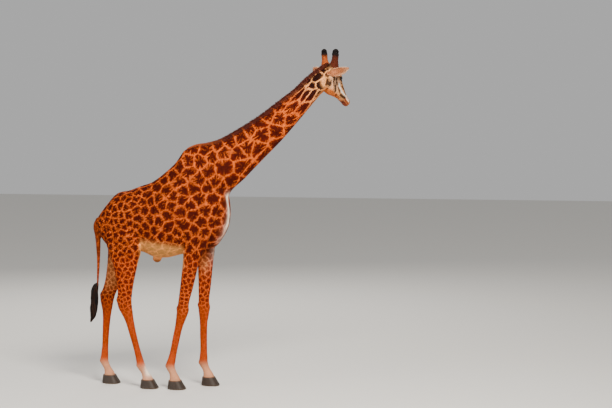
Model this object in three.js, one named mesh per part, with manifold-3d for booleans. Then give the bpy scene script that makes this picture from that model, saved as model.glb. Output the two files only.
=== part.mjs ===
// A life-size standing model of a Masai giraffe bull, in millimetres.
// +X runs from tail to chest, +Y to the animal's left, +Z up, and the hooves stand on Z = 0.
// It stands square to +X with its neck stretched forward and up, its head turned to its left,
// its right feet drawn together under the belly and its left feet apart.
// The body is lofted through named stations, and each limb through its own joints.
import * as THREE from "three";
import { mergeVertices } from "three/addons/utils/BufferGeometryUtils.js";
import Module from "manifold-3d";

const wasm = await Module();
wasm.setup();

// ---------------------------------------------------------------- driving dimensions
const GAP = 0.3; // between touching nodes
const WITHERS = 3030; // height of the shoulder hump
const LEG_TOP = 1680; // level at which the four legs leave the body
const MANE = { height: 68, locks: 36, wide: 88, thick: 9, lean: 30, from: 0.03, to: 0.975 };
const HEAD_PITCH = 34; // degrees below level
const HEAD_YAW = 69; // degrees to the animal's left
const POLL = [2081, 119, 3966]; // back of the skull
const EYE = { radius: 27, along: 208, up: 32, out: 96 }; // eyeball, in the head's own axes
const HORN = { height: 233, foot: 53, neck: 38, knob: 35, along: 92, out: 60, lean: 33, splay: 5 };
const EAR = { length: 264, width: 122, wall: 7, cup: 34, sag: 11, along: -3, up: -26, out: 61 };
const HOOF = { length: 226, width: 92, height: 112, split: 9 };
const TAIL_TUFT = {
  top: 1290,
  tiers: [
    { locks: 5, root: 0, tip: 0.66, turn: 0.5, off: 1 },
    { locks: 4, root: 0.16, tip: 0.86, turn: 0, off: 0.86 },
    { locks: 3, root: 0.4, tip: 1, turn: 0.5, off: 0.6 },
  ],
};

// ---------------------------------------------------------------- shape helpers
const vec = (x, y, z) => new THREE.Vector3(x, y, z);
const mix = THREE.MathUtils.lerp;
const radians = THREE.MathUtils.degToRad;

/** A solid from points and triangles, turned so that its faces look outwards. */
function solid(points, faces) {
  const made = (triangles) =>
    new wasm.Manifold(
      new wasm.Mesh({
        numProp: 3,
        vertProperties: new Float32Array(points.flatMap((p) => [p.x, p.y, p.z])),
        triVerts: new Uint32Array(triangles.flat()),
      }),
    );
  const first = made(faces);
  return first.volume() > 0 ? first : made(faces.map(([a, b, c]) => [a, c, b]));
}

/** A closed solid through rings of equally many points, with a flat fan on each end. */
function loft(rings) {
  const sides = rings[0].length;
  const points = rings.flat();
  const faces = [];
  for (let i = 0; i + 1 < rings.length; i++)
    for (let j = 0; j < sides; j++) {
      const a = i * sides + j;
      const b = i * sides + ((j + 1) % sides);
      faces.push([a, b, b + sides], [a, b + sides, a + sides]);
    }
  for (const end of [0, rings.length - 1]) {
    const hub = points.length;
    points.push(rings[end].reduce((sum, p) => sum.add(p), vec(0, 0, 0)).divideScalar(sides));
    for (let j = 0; j < sides; j++) {
      const a = end * sides + j;
      const b = end * sides + ((j + 1) % sides);
      faces.push(end ? [a, b, hub] : [b, a, hub]);
    }
  }
  return solid(points, faces);
}

/** A closed solid from one of three.js's own closed geometries. */
function fromGeometry(geometry) {
  const bare = geometry.clone().deleteAttribute("normal").deleteAttribute("uv");
  const merged = mergeVertices(bare, 1e-3);
  const places = merged.attributes.position;
  const points = Array.from({ length: places.count }, (_, i) => vec().fromBufferAttribute(places, i));
  const corners = Array.from(merged.index.array);
  const faces = [];
  for (let i = 0; i < corners.length; i += 3) faces.push(corners.slice(i, i + 3));
  return solid(points, faces);
}

/** An ellipsoid with its half sizes along a frame's axes, at a place in that frame. */
function egg(frame, place, halves, across = 16, turn = 0) {
  const ball = new THREE.SphereGeometry(1, across, Math.round(across * 0.6));
  ball.scale(...halves).rotateY(turn).translate(...place).applyMatrix4(frame);
  return fromGeometry(ball);
}

/** Rows of numbers read as smooth curves: rows fall on `times`, with `perGap` readings in each gap. */
function readings(rows, times, perGap) {
  const curve = new THREE.CubicInterpolant(times, rows.flat(), rows[0].length);
  const found = [];
  for (let i = 0; i + 1 < times.length; i++)
    for (let k = 0; k < perGap; k++)
      found.push([...curve.evaluate(mix(times[i], times[i + 1], k / perGap))]);
  found.push([...rows.at(-1)]);
  return found;
}

/** Running distances along a list of points. */
function distances(points) {
  let total = 0;
  return points.map((p, i) => (total += i ? Math.max(1, p.distanceTo(points[i - 1])) : 0));
}

/** One closed section: a superellipse with its own reach to each side and its own roundness above and below. */
function section({ centre, side, up, wide, high, low, square = 2, squareLow = square, sides }) {
  return Array.from({ length: sides }, (_, j) => {
    const angle = (j / sides) * 2 * Math.PI;
    const [c, s] = [Math.cos(angle), Math.sin(angle)];
    const power = 2 / (s > 0 ? square : squareLow);
    const across = Math.sign(c) * Math.abs(c) ** power * wide;
    const tall = Math.sign(s) * Math.abs(s) ** power * (s > 0 ? high : low);
    return centre.clone().addScaledVector(side, across).addScaledVector(up, tall);
  });
}

const join = (solids) => wasm.Manifold.union(solids);

/** A solid with every corner moved outwards, for cutting a neighbour back by a gap. */
function grown(body, by = GAP * 1.6) {
  const { vertProperties, triVerts } = body.getMesh();
  const geometry = new THREE.BufferGeometry();
  geometry.setAttribute("position", new THREE.BufferAttribute(new Float32Array(vertProperties), 3));
  geometry.setIndex(new THREE.BufferAttribute(new Uint32Array(triVerts), 1));
  geometry.computeVertexNormals();
  const { position, normal } = geometry.attributes;
  const points = Array.from({ length: position.count }, (_, i) =>
    vec().fromBufferAttribute(position, i).addScaledVector(vec().fromBufferAttribute(normal, i), by),
  );
  const faces = [];
  for (let i = 0; i < triVerts.length; i += 3) faces.push([...triVerts.slice(i, i + 3)]);
  return solid(points, faces);
}

/** The part of a solid beyond a plane, kept half a gap clear of it. */
function beyond(body, point, normal) {
  const way = vec(...normal).normalize();
  return body.trimByPlane(way.toArray(), way.dot(vec(...point)) + GAP / 2);
}

/** Parts a solid with one thin cut: [behind the plane, beyond it]. */
function part(body, point, normal) {
  return [beyond(body, point, normal.map((n) => -n)), beyond(body, point, normal)];
}

const biggest = (body) =>
  body.decompose().reduce((best, piece) => (piece.volume() > best.volume() ? piece : best));

/** Small repeatable unevenness from -1 to 1, so that locks differ as real ones do. */
const uneven = (n) => ((Math.sin(n * 12.9898) * 43758.5453) % 1) * 2 - Math.sign(Math.sin(n * 12.9898));

// ---------------------------------------------------------------- trunk and neck
// Each station: spine point [x, z], keel point [x, z], y, half width, where the widest place lies
// between keel (0) and spine (1), and how square the section is above and below it.
const TRUNK_STATIONS = [
  { at: "tail root", spine: [-806, 2090], keel: [-796, 1985], y: 0, wide: 42, widest: 0.5, above: 2, below: 2 },
  { at: "pin bones", spine: [-770, 2165], keel: [-742, 1868], y: 0, wide: 118, widest: 0.6, above: 2, below: 2 },
  { at: "rump", spine: [-660, 2312], keel: [-650, 1765], y: 0, wide: 188, widest: 0.6, above: 1.9, below: 2 },
  { at: "croup", spine: [-536, 2440], keel: [-510, 1730], y: 0, wide: 232, widest: 0.62, above: 1.9, below: 2 },
  { at: "hips", spine: [-378, 2480], keel: [-360, 1718], y: 0, wide: 250, widest: 0.66, above: 1.9, below: 2 },
  { at: "loin", spine: [-230, 2536], keel: [-210, 1702], y: 0, wide: 256, widest: 0.56, above: 1.85, below: 2.1 },
  { at: "flank", spine: [-90, 2586], keel: [-65, 1642], y: 0, wide: 292, widest: 0.46, above: 1.8, below: 2.1 },
  { at: "barrel", spine: [60, 2694], keel: [95, 1634], y: 0, wide: 322, widest: 0.42, above: 1.75, below: 2.1 },
  { at: "ribs", spine: [210, 2832], keel: [265, 1676], y: 0, wide: 322, widest: 0.42, above: 1.65, below: 2.1 },
  { at: "behind shoulder", spine: [322, 2986], keel: [415, 1708], y: 0, wide: 285, widest: 0.4, above: 1.55, below: 2 },
  { at: "withers", spine: [432, WITHERS], keel: [560, 1738], y: 0, wide: 252, widest: 0.38, above: 1.5, below: 1.9 },
  { at: "shoulder", spine: [500, 3042], keel: [708, 1778], y: 0, wide: 236, widest: 0.38, above: 1.55, below: 1.9 },
  { at: "point of shoulder", spine: [556, 3044], keel: [808, 1896], y: 0, wide: 224, widest: 0.36, above: 1.6, below: 1.9 },
  { at: "breast", spine: [606, 3046], keel: [884, 2050], y: 0, wide: 212, widest: 0.36, above: 1.7, below: 1.9 },
  { at: "upper breast", spine: [650, 3052], keel: [902, 2222], y: 0, wide: 198, widest: 0.38, above: 1.75, below: 1.9 },
  { at: "neck root", spine: [704, 3062], keel: [884, 2420], y: 0, wide: 176, widest: 0.42, above: 1.8, below: 1.9 },
  { at: "low neck", spine: [815, 3098], keel: [1090, 2642], y: 1, wide: 142, widest: 0.46, above: 1.8, below: 1.9 },
  { at: "lower neck", spine: [1041, 3219], keel: [1328, 2889], y: 4, wide: 119, widest: 0.48, above: 1.8, below: 2 },
  { at: "mid neck", spine: [1320, 3399], keel: [1560, 3126], y: 12, wide: 107, widest: 0.48, above: 1.8, below: 2 },
  { at: "upper neck", spine: [1523, 3553], keel: [1731, 3325], y: 30, wide: 99, widest: 0.48, above: 1.8, below: 2 },
  { at: "high neck", spine: [1720, 3709], keel: [1887, 3511], y: 56, wide: 94, widest: 0.5, above: 1.9, below: 2 },
  { at: "nape", spine: [1876, 3867], keel: [2028, 3682], y: 84, wide: 93, widest: 0.5, above: 1.9, below: 2 },
  { at: "behind skull", spine: [1980, 3966], keel: [2124, 3780], y: 112, wide: 90, widest: 0.5, above: 2, below: 2 },
  { at: "inside skull", spine: [2062, 4030], keel: [2172, 3880], y: 150, wide: 66, widest: 0.5, above: 2, below: 2 },
];
const TRUNK_SIDES = 22;

/** The body from tail root to skull. */
function trunkForm() {
  const rows = TRUNK_STATIONS.map((s) => [...s.spine, ...s.keel, s.y, s.wide, s.widest, s.above, s.below]);
  const middles = rows.map(([a, b, c, d, y]) => vec((a + c) / 2, y, (b + d) / 2));
  const keels = rows.map(([, , x, z, y]) => vec(x, y, z));
  const [along, under] = [distances(middles), distances(keels)];
  const times = along.map((d, i) => d + under[i] / 2);
  const read = readings(rows, times, 2);
  const rings = read.map(([sx, sz, kx, kz, y, wide, widest, square, squareLow], i) => {
    const [before, after] = [read[Math.max(0, i - 1)], read[Math.min(read.length - 1, i + 1)]];
    const ahead = vec(after[0] + after[2] - before[0] - before[2], 2 * (after[4] - before[4]), 0);
    const side = vec(-ahead.y, ahead.x, 0).normalize();
    const keel = vec(kx, y, kz);
    const up = vec(sx, y, sz).sub(keel);
    const tall = up.length();
    up.normalize();
    const centre = keel.clone().addScaledVector(up, tall * widest);
    const [high, low] = [tall * (1 - widest), tall * widest];
    return section({ centre, side, up, wide, high, low, square, squareLow, sides: TRUNK_SIDES });
  });
  return loft(rings);
}

// ---------------------------------------------------------------- legs
// Stations down a limb: x and z of its middle line, how far it stands from the animal's middle
// plane, and its reach to the front, to the rear and to each side.
const LIMB_SIDES = 14;

/** A limb on one side (1 = left, -1 = right) lofted through its stations. */
function limbForm(stations, way, perGap = 2) {
  const rows = stations.map((s) => [s.x, s.z, s.out, s.front, s.rear, s.wide]);
  const middles = stations.map((s) => vec(s.x, s.out * way, s.z));
  const read = readings(rows, distances(middles), perGap);
  const rings = read.map(([x, z, out, front, rear, wide], i) => {
    const [before, after] = [read[Math.max(0, i - 1)], read[Math.min(read.length - 1, i + 1)]];
    const down = vec(after[0] - before[0], (after[2] - before[2]) * way, after[1] - before[1]).normalize();
    const side = vec(0, 1, 0).addScaledVector(down, -down.y).normalize();
    const up = side.clone().cross(down).multiplyScalar(-1);
    if (up.x < 0) up.negate();
    const centre = vec(x, out * way, z);
    return section({ centre, side, up, wide, high: front, low: rear, square: 2.1, sides: LIMB_SIDES });
  });
  return loft(rings);
}

/** Stations between two joints, spaced by shares of the way from the first to the second. */
function between(upper, lower, shares) {
  return shares.map(({ share, shift = 0, ...sizes }) => ({
    x: mix(upper.x, lower.x, share) + shift,
    z: mix(upper.z, lower.z, share),
    out: mix(upper.out, lower.out, share),
    ...sizes,
  }));
}

/** The foreleg from the top of the shoulder blade to the hoof's crown. */
function foreStations({ elbow, knee, fetlock, crown }) {
  return [
    { x: 408, z: 2860, out: 60, front: 60, rear: 60, wide: 46 },
    { x: 440, z: 2700, out: 118, front: 108, rear: 105, wide: 62 },
    { x: 505, z: 2460, out: 166, front: 135, rear: 140, wide: 66 },
    { x: 560, z: 2230, out: 182, front: 150, rear: 168, wide: 76 },
    { x: 560, z: 2020, out: 190, front: 150, rear: 172, wide: 82 },
    { x: mix(540, elbow.x, 0.45), z: 1850, out: 190, front: 132, rear: 140, wide: 80 },
    { ...elbow, front: 108, rear: 118, wide: 76 },
    ...between(elbow, knee, [
      { share: 0.16, front: 98, rear: 106, wide: 72 },
      { share: 0.36, front: 92, rear: 94, wide: 65 },
      { share: 0.6, front: 84, rear: 82, wide: 57 },
      { share: 0.84, front: 72, rear: 72, wide: 54 },
    ]),
    { ...knee, front: 80, rear: 68, wide: 66 },
    ...between(knee, fetlock, [
      { share: 0.12, front: 72, rear: 60, wide: 62 },
      { share: 0.26, front: 54, rear: 52, wide: 48 },
      { share: 0.5, front: 47, rear: 51, wide: 41 },
      { share: 0.78, front: 46, rear: 50, wide: 41 },
      { share: 0.92, front: 50, rear: 60, wide: 50 },
    ]),
    { ...fetlock, front: 52, rear: 66, wide: 55 },
    ...between(fetlock, crown, [{ share: 0.5, front: 50, rear: 48, wide: 53 }]),
    { ...crown, front: 72, rear: 74, wide: 76 },
    { ...crown, z: crown.z - 60, front: 90, rear: 80, wide: 80 },
  ];
}

/** The hind leg from inside the croup to the hoof's crown. */
function hindStations({ hip, stifle, hock, fetlock, crown }) {
  return [
    { ...hip, front: 60, rear: 60, wide: 44 },
    ...between(hip, stifle, [
      { share: 0.1, front: 120, rear: 130, wide: 66 },
      { share: 0.32, front: 188, rear: 212, wide: 90 },
      { share: 0.62, front: 216, rear: 225, wide: 102 },
      { share: 0.85, front: 224, rear: 205, wide: 104 },
    ]),
    { ...stifle, front: 214, rear: 184, wide: 100 },
    ...between(stifle, hock, [
      { share: 0.22, front: 176, rear: 146, wide: 86 },
      { share: 0.45, front: 138, rear: 116, wide: 72 },
      { share: 0.68, front: 106, rear: 98, wide: 58 },
      { share: 0.88, front: 86, rear: 100, wide: 56 },
    ]),
    { ...hock, front: 82, rear: 100, wide: 62 },
    ...between(hock, fetlock, [
      { share: 0.1, front: 74, rear: 84, wide: 60 },
      { share: 0.24, front: 58, rear: 60, wide: 49 },
      { share: 0.5, front: 42, rear: 52, wide: 41 },
      { share: 0.78, front: 38, rear: 50, wide: 40 },
      { share: 0.92, front: 42, rear: 58, wide: 48 },
    ]),
    { ...fetlock, front: 46, rear: 64, wide: 53 },
    ...between(fetlock, crown, [{ share: 0.5, front: 46, rear: 47, wide: 51 }]),
    { ...crown, front: 70, rear: 72, wide: 74 },
    { ...crown, z: crown.z - 60, front: 88, rear: 78, wide: 78 },
  ];
}

const CROWN = HOOF.height + GAP;
const LEGS = {
  fore_right: {
    way: -1,
    stations: foreStations({
      elbow: { x: 458, z: 1690, out: 186 },
      knee: { x: 318, z: 985, out: 172 },
      fetlock: { x: 170, z: 292, out: 166 },
      crown: { x: 222, z: CROWN, out: 166 },
    }),
  },
  fore_left: {
    way: 1,
    stations: foreStations({
      elbow: { x: 556, z: 1690, out: 186 },
      knee: { x: 520, z: 985, out: 176 },
      fetlock: { x: 524, z: 292, out: 172 },
      crown: { x: 584, z: CROWN, out: 172 },
    }),
  },
  hind_right: {
    way: -1,
    stations: hindStations({
      hip: { x: -462, z: 2310, out: 112 },
      stifle: { x: -424, z: 1700, out: 160 },
      hock: { x: -412, z: 1050, out: 150 },
      fetlock: { x: -206, z: 286, out: 150 },
      crown: { x: -132, z: CROWN, out: 150 },
    }),
  },
  hind_left: {
    way: 1,
    stations: hindStations({
      hip: { x: -478, z: 2310, out: 112 },
      stifle: { x: -535, z: 1700, out: 160 },
      hock: { x: -716, z: 1090, out: 156 },
      fetlock: { x: -758, z: 286, out: 158 },
      crown: { x: -700, z: CROWN, out: 158 },
    }),
  },
};
for (const leg of Object.values(LEGS)) leg.form = limbForm(leg.stations, leg.way).simplify(1);

/** One of the two toes of a hoof: straight on the inside, bowed outside and in front, and sloped. */
function toe(leg, outer) {
  const crown = leg.stations.at(-2);
  const away = outer ? leg.way : -leg.way;
  const inner = crown.out * leg.way + (away * HOOF.split) / 2;
  const levels = [
    { height: 0, reach: 1, wide: 1 },
    { height: 0.12, reach: 1.015, wide: 1.02 },
    { height: 0.55, reach: 0.86, wide: 0.92 },
    { height: 1, reach: 0.7, wide: 0.8 },
  ];
  const steps = 10;
  const rings = levels.map(({ height, reach, wide }) =>
    Array.from({ length: steps + 1 }, (_, j) => {
      const angle = (j / steps) * Math.PI;
      const along = Math.cos(angle);
      const bow = Math.sin(angle) ** 0.75 * (1 + 0.12 * along);
      const half = (HOOF.length / 2) * reach;
      const x = crown.x + 26 * (1 - height) * reach + along * half;
      return vec(x, inner + away * bow * HOOF.width * wide + away * 0.1, height * HOOF.height);
    }),
  );
  return loft(rings);
}

// ---------------------------------------------------------------- head
const [pitch, yaw] = [radians(HEAD_PITCH), radians(HEAD_YAW)];
const ahead = vec(Math.cos(pitch) * Math.cos(yaw), Math.cos(pitch) * Math.sin(yaw), -Math.sin(pitch));
const leftward = vec(-Math.sin(yaw), Math.cos(yaw), 0);
const HEAD = new THREE.Matrix4().makeBasis(ahead, leftward, ahead.clone().cross(leftward));
HEAD.setPosition(...POLL);
const inHead = (along, out, up) => vec(along, out, up).applyMatrix4(HEAD);

// Each station: distance from the poll, top, bottom, half width, height of the widest place
// between bottom (0) and top (1), and how square the section is above and below it.
const HEAD_STATIONS = [
  { at: "poll", along: -34, top: 38, bottom: -60, wide: 42, widest: 0.5, above: 2, below: 2 },
  { at: "nape", along: -14, top: 68, bottom: -100, wide: 74, widest: 0.55, above: 2, below: 2 },
  { at: "back of skull", along: 35, top: 110, bottom: -142, wide: 98, widest: 0.6, above: 2.1, below: 1.9 },
  { at: "horn root", along: 92, top: 130, bottom: -180, wide: 104, widest: 0.65, above: 2.2, below: 1.8 },
  { at: "behind eye", along: 155, top: 124, bottom: -202, wide: 103, widest: 0.7, above: 2.2, below: 2 },
  { at: "eye", along: 218, top: 120, bottom: -196, wide: 98, widest: 0.71, above: 2.2, below: 2.2 },
  { at: "brow", along: 275, top: 108, bottom: -176, wide: 93, widest: 0.7, above: 2.1, below: 2.2 },
  { at: "cheek", along: 345, top: 92, bottom: -147, wide: 87, widest: 0.64, above: 2, below: 2.2 },
  { at: "face", along: 422, top: 71, bottom: -118, wide: 76, widest: 0.56, above: 2, below: 2.1 },
  { at: "bridge", along: 500, top: 48, bottom: -95, wide: 63, widest: 0.5, above: 2, below: 2 },
  { at: "behind nostril", along: 570, top: 29, bottom: -85, wide: 53, widest: 0.5, above: 2.1, below: 2.1 },
  { at: "nostril", along: 625, top: 10, bottom: -79, wide: 49, widest: 0.5, above: 2.1, below: 2.2 },
  { at: "lips", along: 665, top: -10, bottom: -78, wide: 43, widest: 0.45, above: 2.1, below: 2.2 },
  { at: "lip edge", along: 690, top: -28, bottom: -73, wide: 31, widest: 0.45, above: 2, below: 2 },
  { at: "tip of lip", along: 703, top: -42, bottom: -66, wide: 15, widest: 0.5, above: 2, below: 2 },
];
const SIDES_OF_HEAD = [1, -1];

/** Skull, face and lower jaw in one, with brows, cheeks, nostril rims and lids. */
function headForm() {
  const rows = HEAD_STATIONS.map((s) => [s.along, s.top, s.bottom, s.wide, s.widest, s.above, s.below]);
  const read = readings(rows, HEAD_STATIONS.map((s) => s.along), 2);
  const rings = read.map(([along, top, bottom, wide, widest, square, squareLow]) =>
    section({
      centre: vec(along, 0, mix(bottom, top, widest)),
      side: vec(0, 1, 0),
      up: vec(0, 0, 1),
      wide,
      high: (top - bottom) * (1 - widest),
      low: (top - bottom) * widest,
      square,
      squareLow,
      sides: 18,
    }).map((p) => p.applyMatrix4(HEAD)),
  );
  const lump = (place, halves, across) => egg(HEAD, place, halves, across);
  const pieces = [loft(rings), lump([226, 0, 92], [104, 58, 36], 10), lump([66, 0, 96], [84, 98, 52], 12)];
  for (const way of SIDES_OF_HEAD)
    pieces.push(
      lump([205, 62 * way, 70], [84, 50, 42], 10),
      lump([92, 64 * way, 74], [78, 54, 58], 10),
      lump([165, 54 * way, -90], [98, 43, 84], 10),
      lump([650, 28 * way, -22], [40, 23, 26], 8),
      lump([EYE.along, (EYE.out - 3) * way, EYE.up], [40, 31, 35], 12),
    );
  return join(pieces).simplify(3);
}

const eyeball = (way, grow = 0) => {
  const half = EYE.radius + grow;
  return egg(HEAD, [EYE.along, EYE.out * way, EYE.up], [half, half, half], 12);
};

/** The almond opening between the lids, long along the head and slanting down to the front. */
const lidOpening = (way) => egg(HEAD, [EYE.along + 2, (EYE.out + 30) * way, EYE.up - 1], [29, 26, 15], 10);

/** A nostril: a slanting slot that opens outwards and forwards near the end of the muzzle. */
const nostril = (way) => egg(HEAD, [648, 52 * way, -16], [24, 10, 8], 8, 0.55);

/** The line of the mouth, a shallow slot round the front of the muzzle. */
function mouthLine() {
  const outline = (reach) =>
    [-1, 1].flatMap((level) => {
      const steps = 10;
      return [
        Array.from({ length: steps * 2 + 1 }, (_, j) => {
          const angle = (j / steps - 1) * (Math.PI / 2);
          const along = 520 + Math.cos(angle) * (178 + reach);
          return inHead(along, Math.sin(angle) * (43 + reach), -59 + level * 2 + (along - 700) * 0.02);
        }),
      ];
    });
  const outer = loft(outline(14));
  return outer.subtract(loft(outline(-8)));
}

// ---------------------------------------------------------------- horns and ears
/** A horn: flared foot, waist and blunt round knob, leaning back from the brow. */
function hornForm(way) {
  const lean = radians(HORN.lean);
  const splay = radians(HORN.splay) * way;
  const axis = vec(-Math.sin(lean), Math.sin(splay), Math.cos(lean) * Math.cos(splay)).normalize();
  const root = vec(HORN.along, HORN.out * way, 62);
  const side = vec(0, 1, 0).addScaledVector(axis, -axis.y).normalize();
  const up = axis.clone().cross(side);
  const { foot, neck, knob } = HORN;
  const levels = [[0, foot * 0.8], [38, foot * 1.12], [62, foot], [90, mix(foot, neck, 0.6)], [125, neck],
    [175, neck * 1.02], [208, knob], [232, knob * 0.98], [248, knob * 0.7], [257, knob * 0.25]];
  const rings = levels.map(([height, half]) =>
    section({
      centre: root.clone().addScaledVector(axis, (height * (HORN.height + 53)) / 258),
      side, up, wide: half, high: half * 1.12, low: half * 1.12, sides: 12,
    }).map((p) => p.applyMatrix4(HEAD)),
  );
  return loft(rings);
}

/** An ear: a leaf-shaped cup on a short round stem, open to the front and pointed at the tip. */
function earForm(way) {
  const root = vec(EAR.along, EAR.out * way, EAR.up);
  const axis = vec(0.4, 0.717 * way, 0.57).normalize();
  const open = vec(0.86, -0.45 * way, 0.05);
  open.addScaledVector(axis, -open.dot(axis)).normalize();
  const side = axis.clone().cross(open).normalize();
  const levels = [[-0.12, 0.36, 0.15], [0, 0.48, 0.2], [0.1, 0.72, 0.5], [0.22, 0.94, 0.85], [0.38, 1, 1],
    [0.54, 0.95, 0.9], [0.7, 0.78, 0.7], [0.85, 0.48, 0.4], [0.96, 0.2, 0.15], [1, 0.06, 0.02]];
  const steps = 8;
  const rings = levels.map(([share, wide, cup]) => {
    const middle = root.clone().addScaledVector(axis, share * EAR.length);
    middle.addScaledVector(side, way * EAR.sag * Math.sin(Math.PI * Math.max(0, share)));
    const half = (EAR.width / 2) * wide;
    const deep = EAR.cup * cup;
    const wall = EAR.wall + Math.max(0, 0.4 - cup) * 120 * wide;
    const arc = (sink, thin) =>
      Array.from({ length: steps + 1 }, (_, j) => {
        const t = (j / steps) * 2 - 1;
        const place = middle.clone().addScaledVector(side, t * half * (thin ? 0.93 : 1));
        return place.addScaledVector(open, -deep * (1 - t * t) - sink * (1 - 0.75 * t * t));
      });
    return [...arc(wall, false), ...arc(0, true).reverse()].map((p) => p.applyMatrix4(HEAD));
  });
  return loft(rings);
}

// ---------------------------------------------------------------- mane and tail
/** Spine points of the neck with the way out of the neck and along it, from withers to poll. */
function crestLine() {
  const neck = TRUNK_STATIONS.slice(9, 22).map((s) => vec(s.spine[0], s.y, s.spine[1]));
  const curve = new THREE.CatmullRomCurve3([...neck, inHead(-30, 0, 62), inHead(28, 0, 118)]);
  return (share) => {
    const place = curve.getPointAt(share);
    const along = curve.getTangentAt(share);
    const side = vec(-along.y, along.x, 0).normalize();
    return { place, along, side, out: along.clone().cross(side).normalize() };
  };
}
const crest = crestLine();
const maneHeight = (share) => MANE.height * Math.min(0.4 + share * 2, 1, 1.6 - share * 0.85);

/** A flat lock that tapers to a point along a list of places, with its flat sides facing `flat`. */
function lock(places, flat, wide, thick) {
  const shares = places.map((_, i) => i / (places.length - 1));
  const rings = places.map((place, i) => {
    const way = (places[i + 1] ?? place).clone().sub(places[i - 1] ?? place).normalize();
    const across = flat.clone().cross(way).normalize();
    const taper = Math.max(0.06, 1 - shares[i] ** 2);
    const [half, deep] = [(wide / 2) * taper, (thick / 2) * Math.max(0.25, taper)];
    return [
      place.clone().addScaledVector(across, half),
      place.clone().addScaledVector(flat, deep),
      place.clone().addScaledVector(across, -half),
      place.clone().addScaledVector(flat, -deep),
    ];
  });
  return loft(rings);
}

/** The mane: a low ridge, and flat locks in two rows that stand up from it and lean back. */
function maneForm() {
  const { from, to, locks, wide, thick, lean } = MANE;
  const ridge = [];
  const steps = 20;
  for (let i = 0; i <= steps; i++) {
    const share = mix(from, to, i / steps);
    const { place, side, out } = crest(share);
    const tall = maneHeight(share) * 0.34;
    ridge.push([
      place.clone().addScaledVector(side, 17).addScaledVector(out, -16),
      place.clone().addScaledVector(side, 11).addScaledVector(out, tall),
      place.clone().addScaledVector(side, -11).addScaledVector(out, tall),
      place.clone().addScaledVector(side, -17).addScaledVector(out, -16),
    ]);
  }
  const pieces = [loft(ridge)];
  for (let i = 0; i < locks; i++) {
    const share = mix(from, to, (i + 0.6) / (locks + 0.2));
    const { place, along, side, out } = crest(share);
    const flat = side.clone().multiplyScalar(i % 2 ? 1 : -1);
    const tall = maneHeight(share) * (1 + 0.09 * uneven(i));
    const places = [-0.2, 0.3, 0.7, 1].map((rise) =>
      place
        .clone()
        .addScaledVector(out, rise * tall)
        .addScaledVector(along, 8 - lean * Math.max(0, rise) ** 2)
        .addScaledVector(flat, 6 + 2 * rise),
    );
    pieces.push(lock(places, flat, wide * (1 + 0.12 * uneven(i + 77)), thick));
  }
  return join(pieces);
}

const TAIL_STATIONS = [
  { at: "root", x: -768, z: 2108, deep: 46, wide: 54 },
  { at: "bend", x: -808, z: 2030, deep: 46, wide: 52 },
  { at: "dock", x: -798, z: 1900, deep: 38, wide: 42 },
  { at: "upper", x: -792, z: 1740, deep: 29, wide: 31 },
  { at: "middle", x: -793, z: 1560, deep: 22, wide: 23 },
  { at: "lower", x: -800, z: 1400, deep: 18, wide: 18 },
  { at: "end of dock", x: -806, z: TAIL_TUFT.top, deep: 15, wide: 15 },
  { at: "in tuft", x: -822, z: TAIL_TUFT.top - 130, deep: 12, wide: 12 },
];

/** The short-haired dock of the tail, hanging straight down behind the rump. */
function tailForm() {
  const stations = TAIL_STATIONS.map((s) => ({ x: s.x, z: s.z, out: 0, front: s.deep, rear: s.deep, wide: s.wide }));
  return limbForm(stations, 1, 1);
}

/** The middle line of the tuft: it swings a little back and curls at its tip. */
const TUFT_STATIONS = [
  { x: -810, z: 1304, half: 24 },
  { x: -838, z: 1255, half: 44 },
  { x: -856, z: 1164, half: 54 },
  { x: -861, z: 1039, half: 60 },
  { x: -864, z: 913, half: 46 },
  { x: -876, z: 850, half: 32 },
  { x: -908, z: 792, half: 8 },
];
const tuftLine = new THREE.CatmullRomCurve3(TUFT_STATIONS.map(({ x, z }) => vec(x, 0, z)));

/** The tuft: a core in its upper half, and flat locks in three tiers that fall round it to the tip. */
function tuftForm() {
  const spread = (share) => {
    const step = Math.min(share * (TUFT_STATIONS.length - 1), TUFT_STATIONS.length - 1.001);
    const before = Math.floor(step);
    return mix(TUFT_STATIONS[before].half, TUFT_STATIONS[before + 1].half, step - before);
  };
  const core = [0, 0.08, 0.2, 0.34, 0.46, 0.54].map((share, i) => {
    const half = i === 5 ? 8 : spread(share) * 0.62;
    const centre = tuftLine.getPoint(share);
    return section({ centre, side: vec(0, 1, 0), up: vec(1, 0, 0), wide: half, high: half, low: half, sides: 8 });
  });
  const pieces = [loft(core)];
  TAIL_TUFT.tiers.forEach(({ locks, root, tip, turn, off }, tier) => {
    for (let i = 0; i < locks; i++) {
      const angle = ((i + turn) / locks) * 2 * Math.PI;
      const flat = vec(Math.cos(angle), Math.sin(angle), 0);
      const end = Math.min(1, tip * (1 + 0.06 * uneven(i + tier * 9)));
      const places = [0, 0.3, 0.66, 1].map((t) => {
        const share = mix(root, end, t);
        const away = spread(share) * off * (t ? 1 - 0.2 * t : 0.4);
        return tuftLine.getPoint(share).addScaledVector(flat, away);
      });
      pieces.push(lock(places, flat, 62, 15));
    }
  });
  return join(pieces);
}

// ---------------------------------------------------------------- parting the body into nodes
const solids = {};
const trunk = trunkForm();
const sheath = egg(new THREE.Matrix4(), [-34, 0, 1622], [60, 34, 48], 12);
const legTops = Object.values(LEGS).map((leg) => beyond(leg.form, [0, 0, LEG_TOP], [0, 0, 1]));
const body = join([trunk, ...legTops, sheath]).simplify(2);

const NECK_ROOT = { point: [700, 0, 2900], normal: [0.86, 0, 0.5] };
const NECK_CUTS = [
  { point: [1180, 0, 3180], normal: [0.77, 0, 0.64] },
  { point: [1640, 0, 3500], normal: [0.72, 0, 0.69] },
];
const SKULL_CUT = { point: inHead(20, 0, -60).toArray(), normal: inHead(0.62, 0, 0.78).sub(inHead(0, 0, 0)).toArray() };
const [RIB_CUT, LOIN_CUT] = [150, -232].map((x) => ({ point: [x, 0, 0], normal: [1, 0, 0] }));

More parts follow.
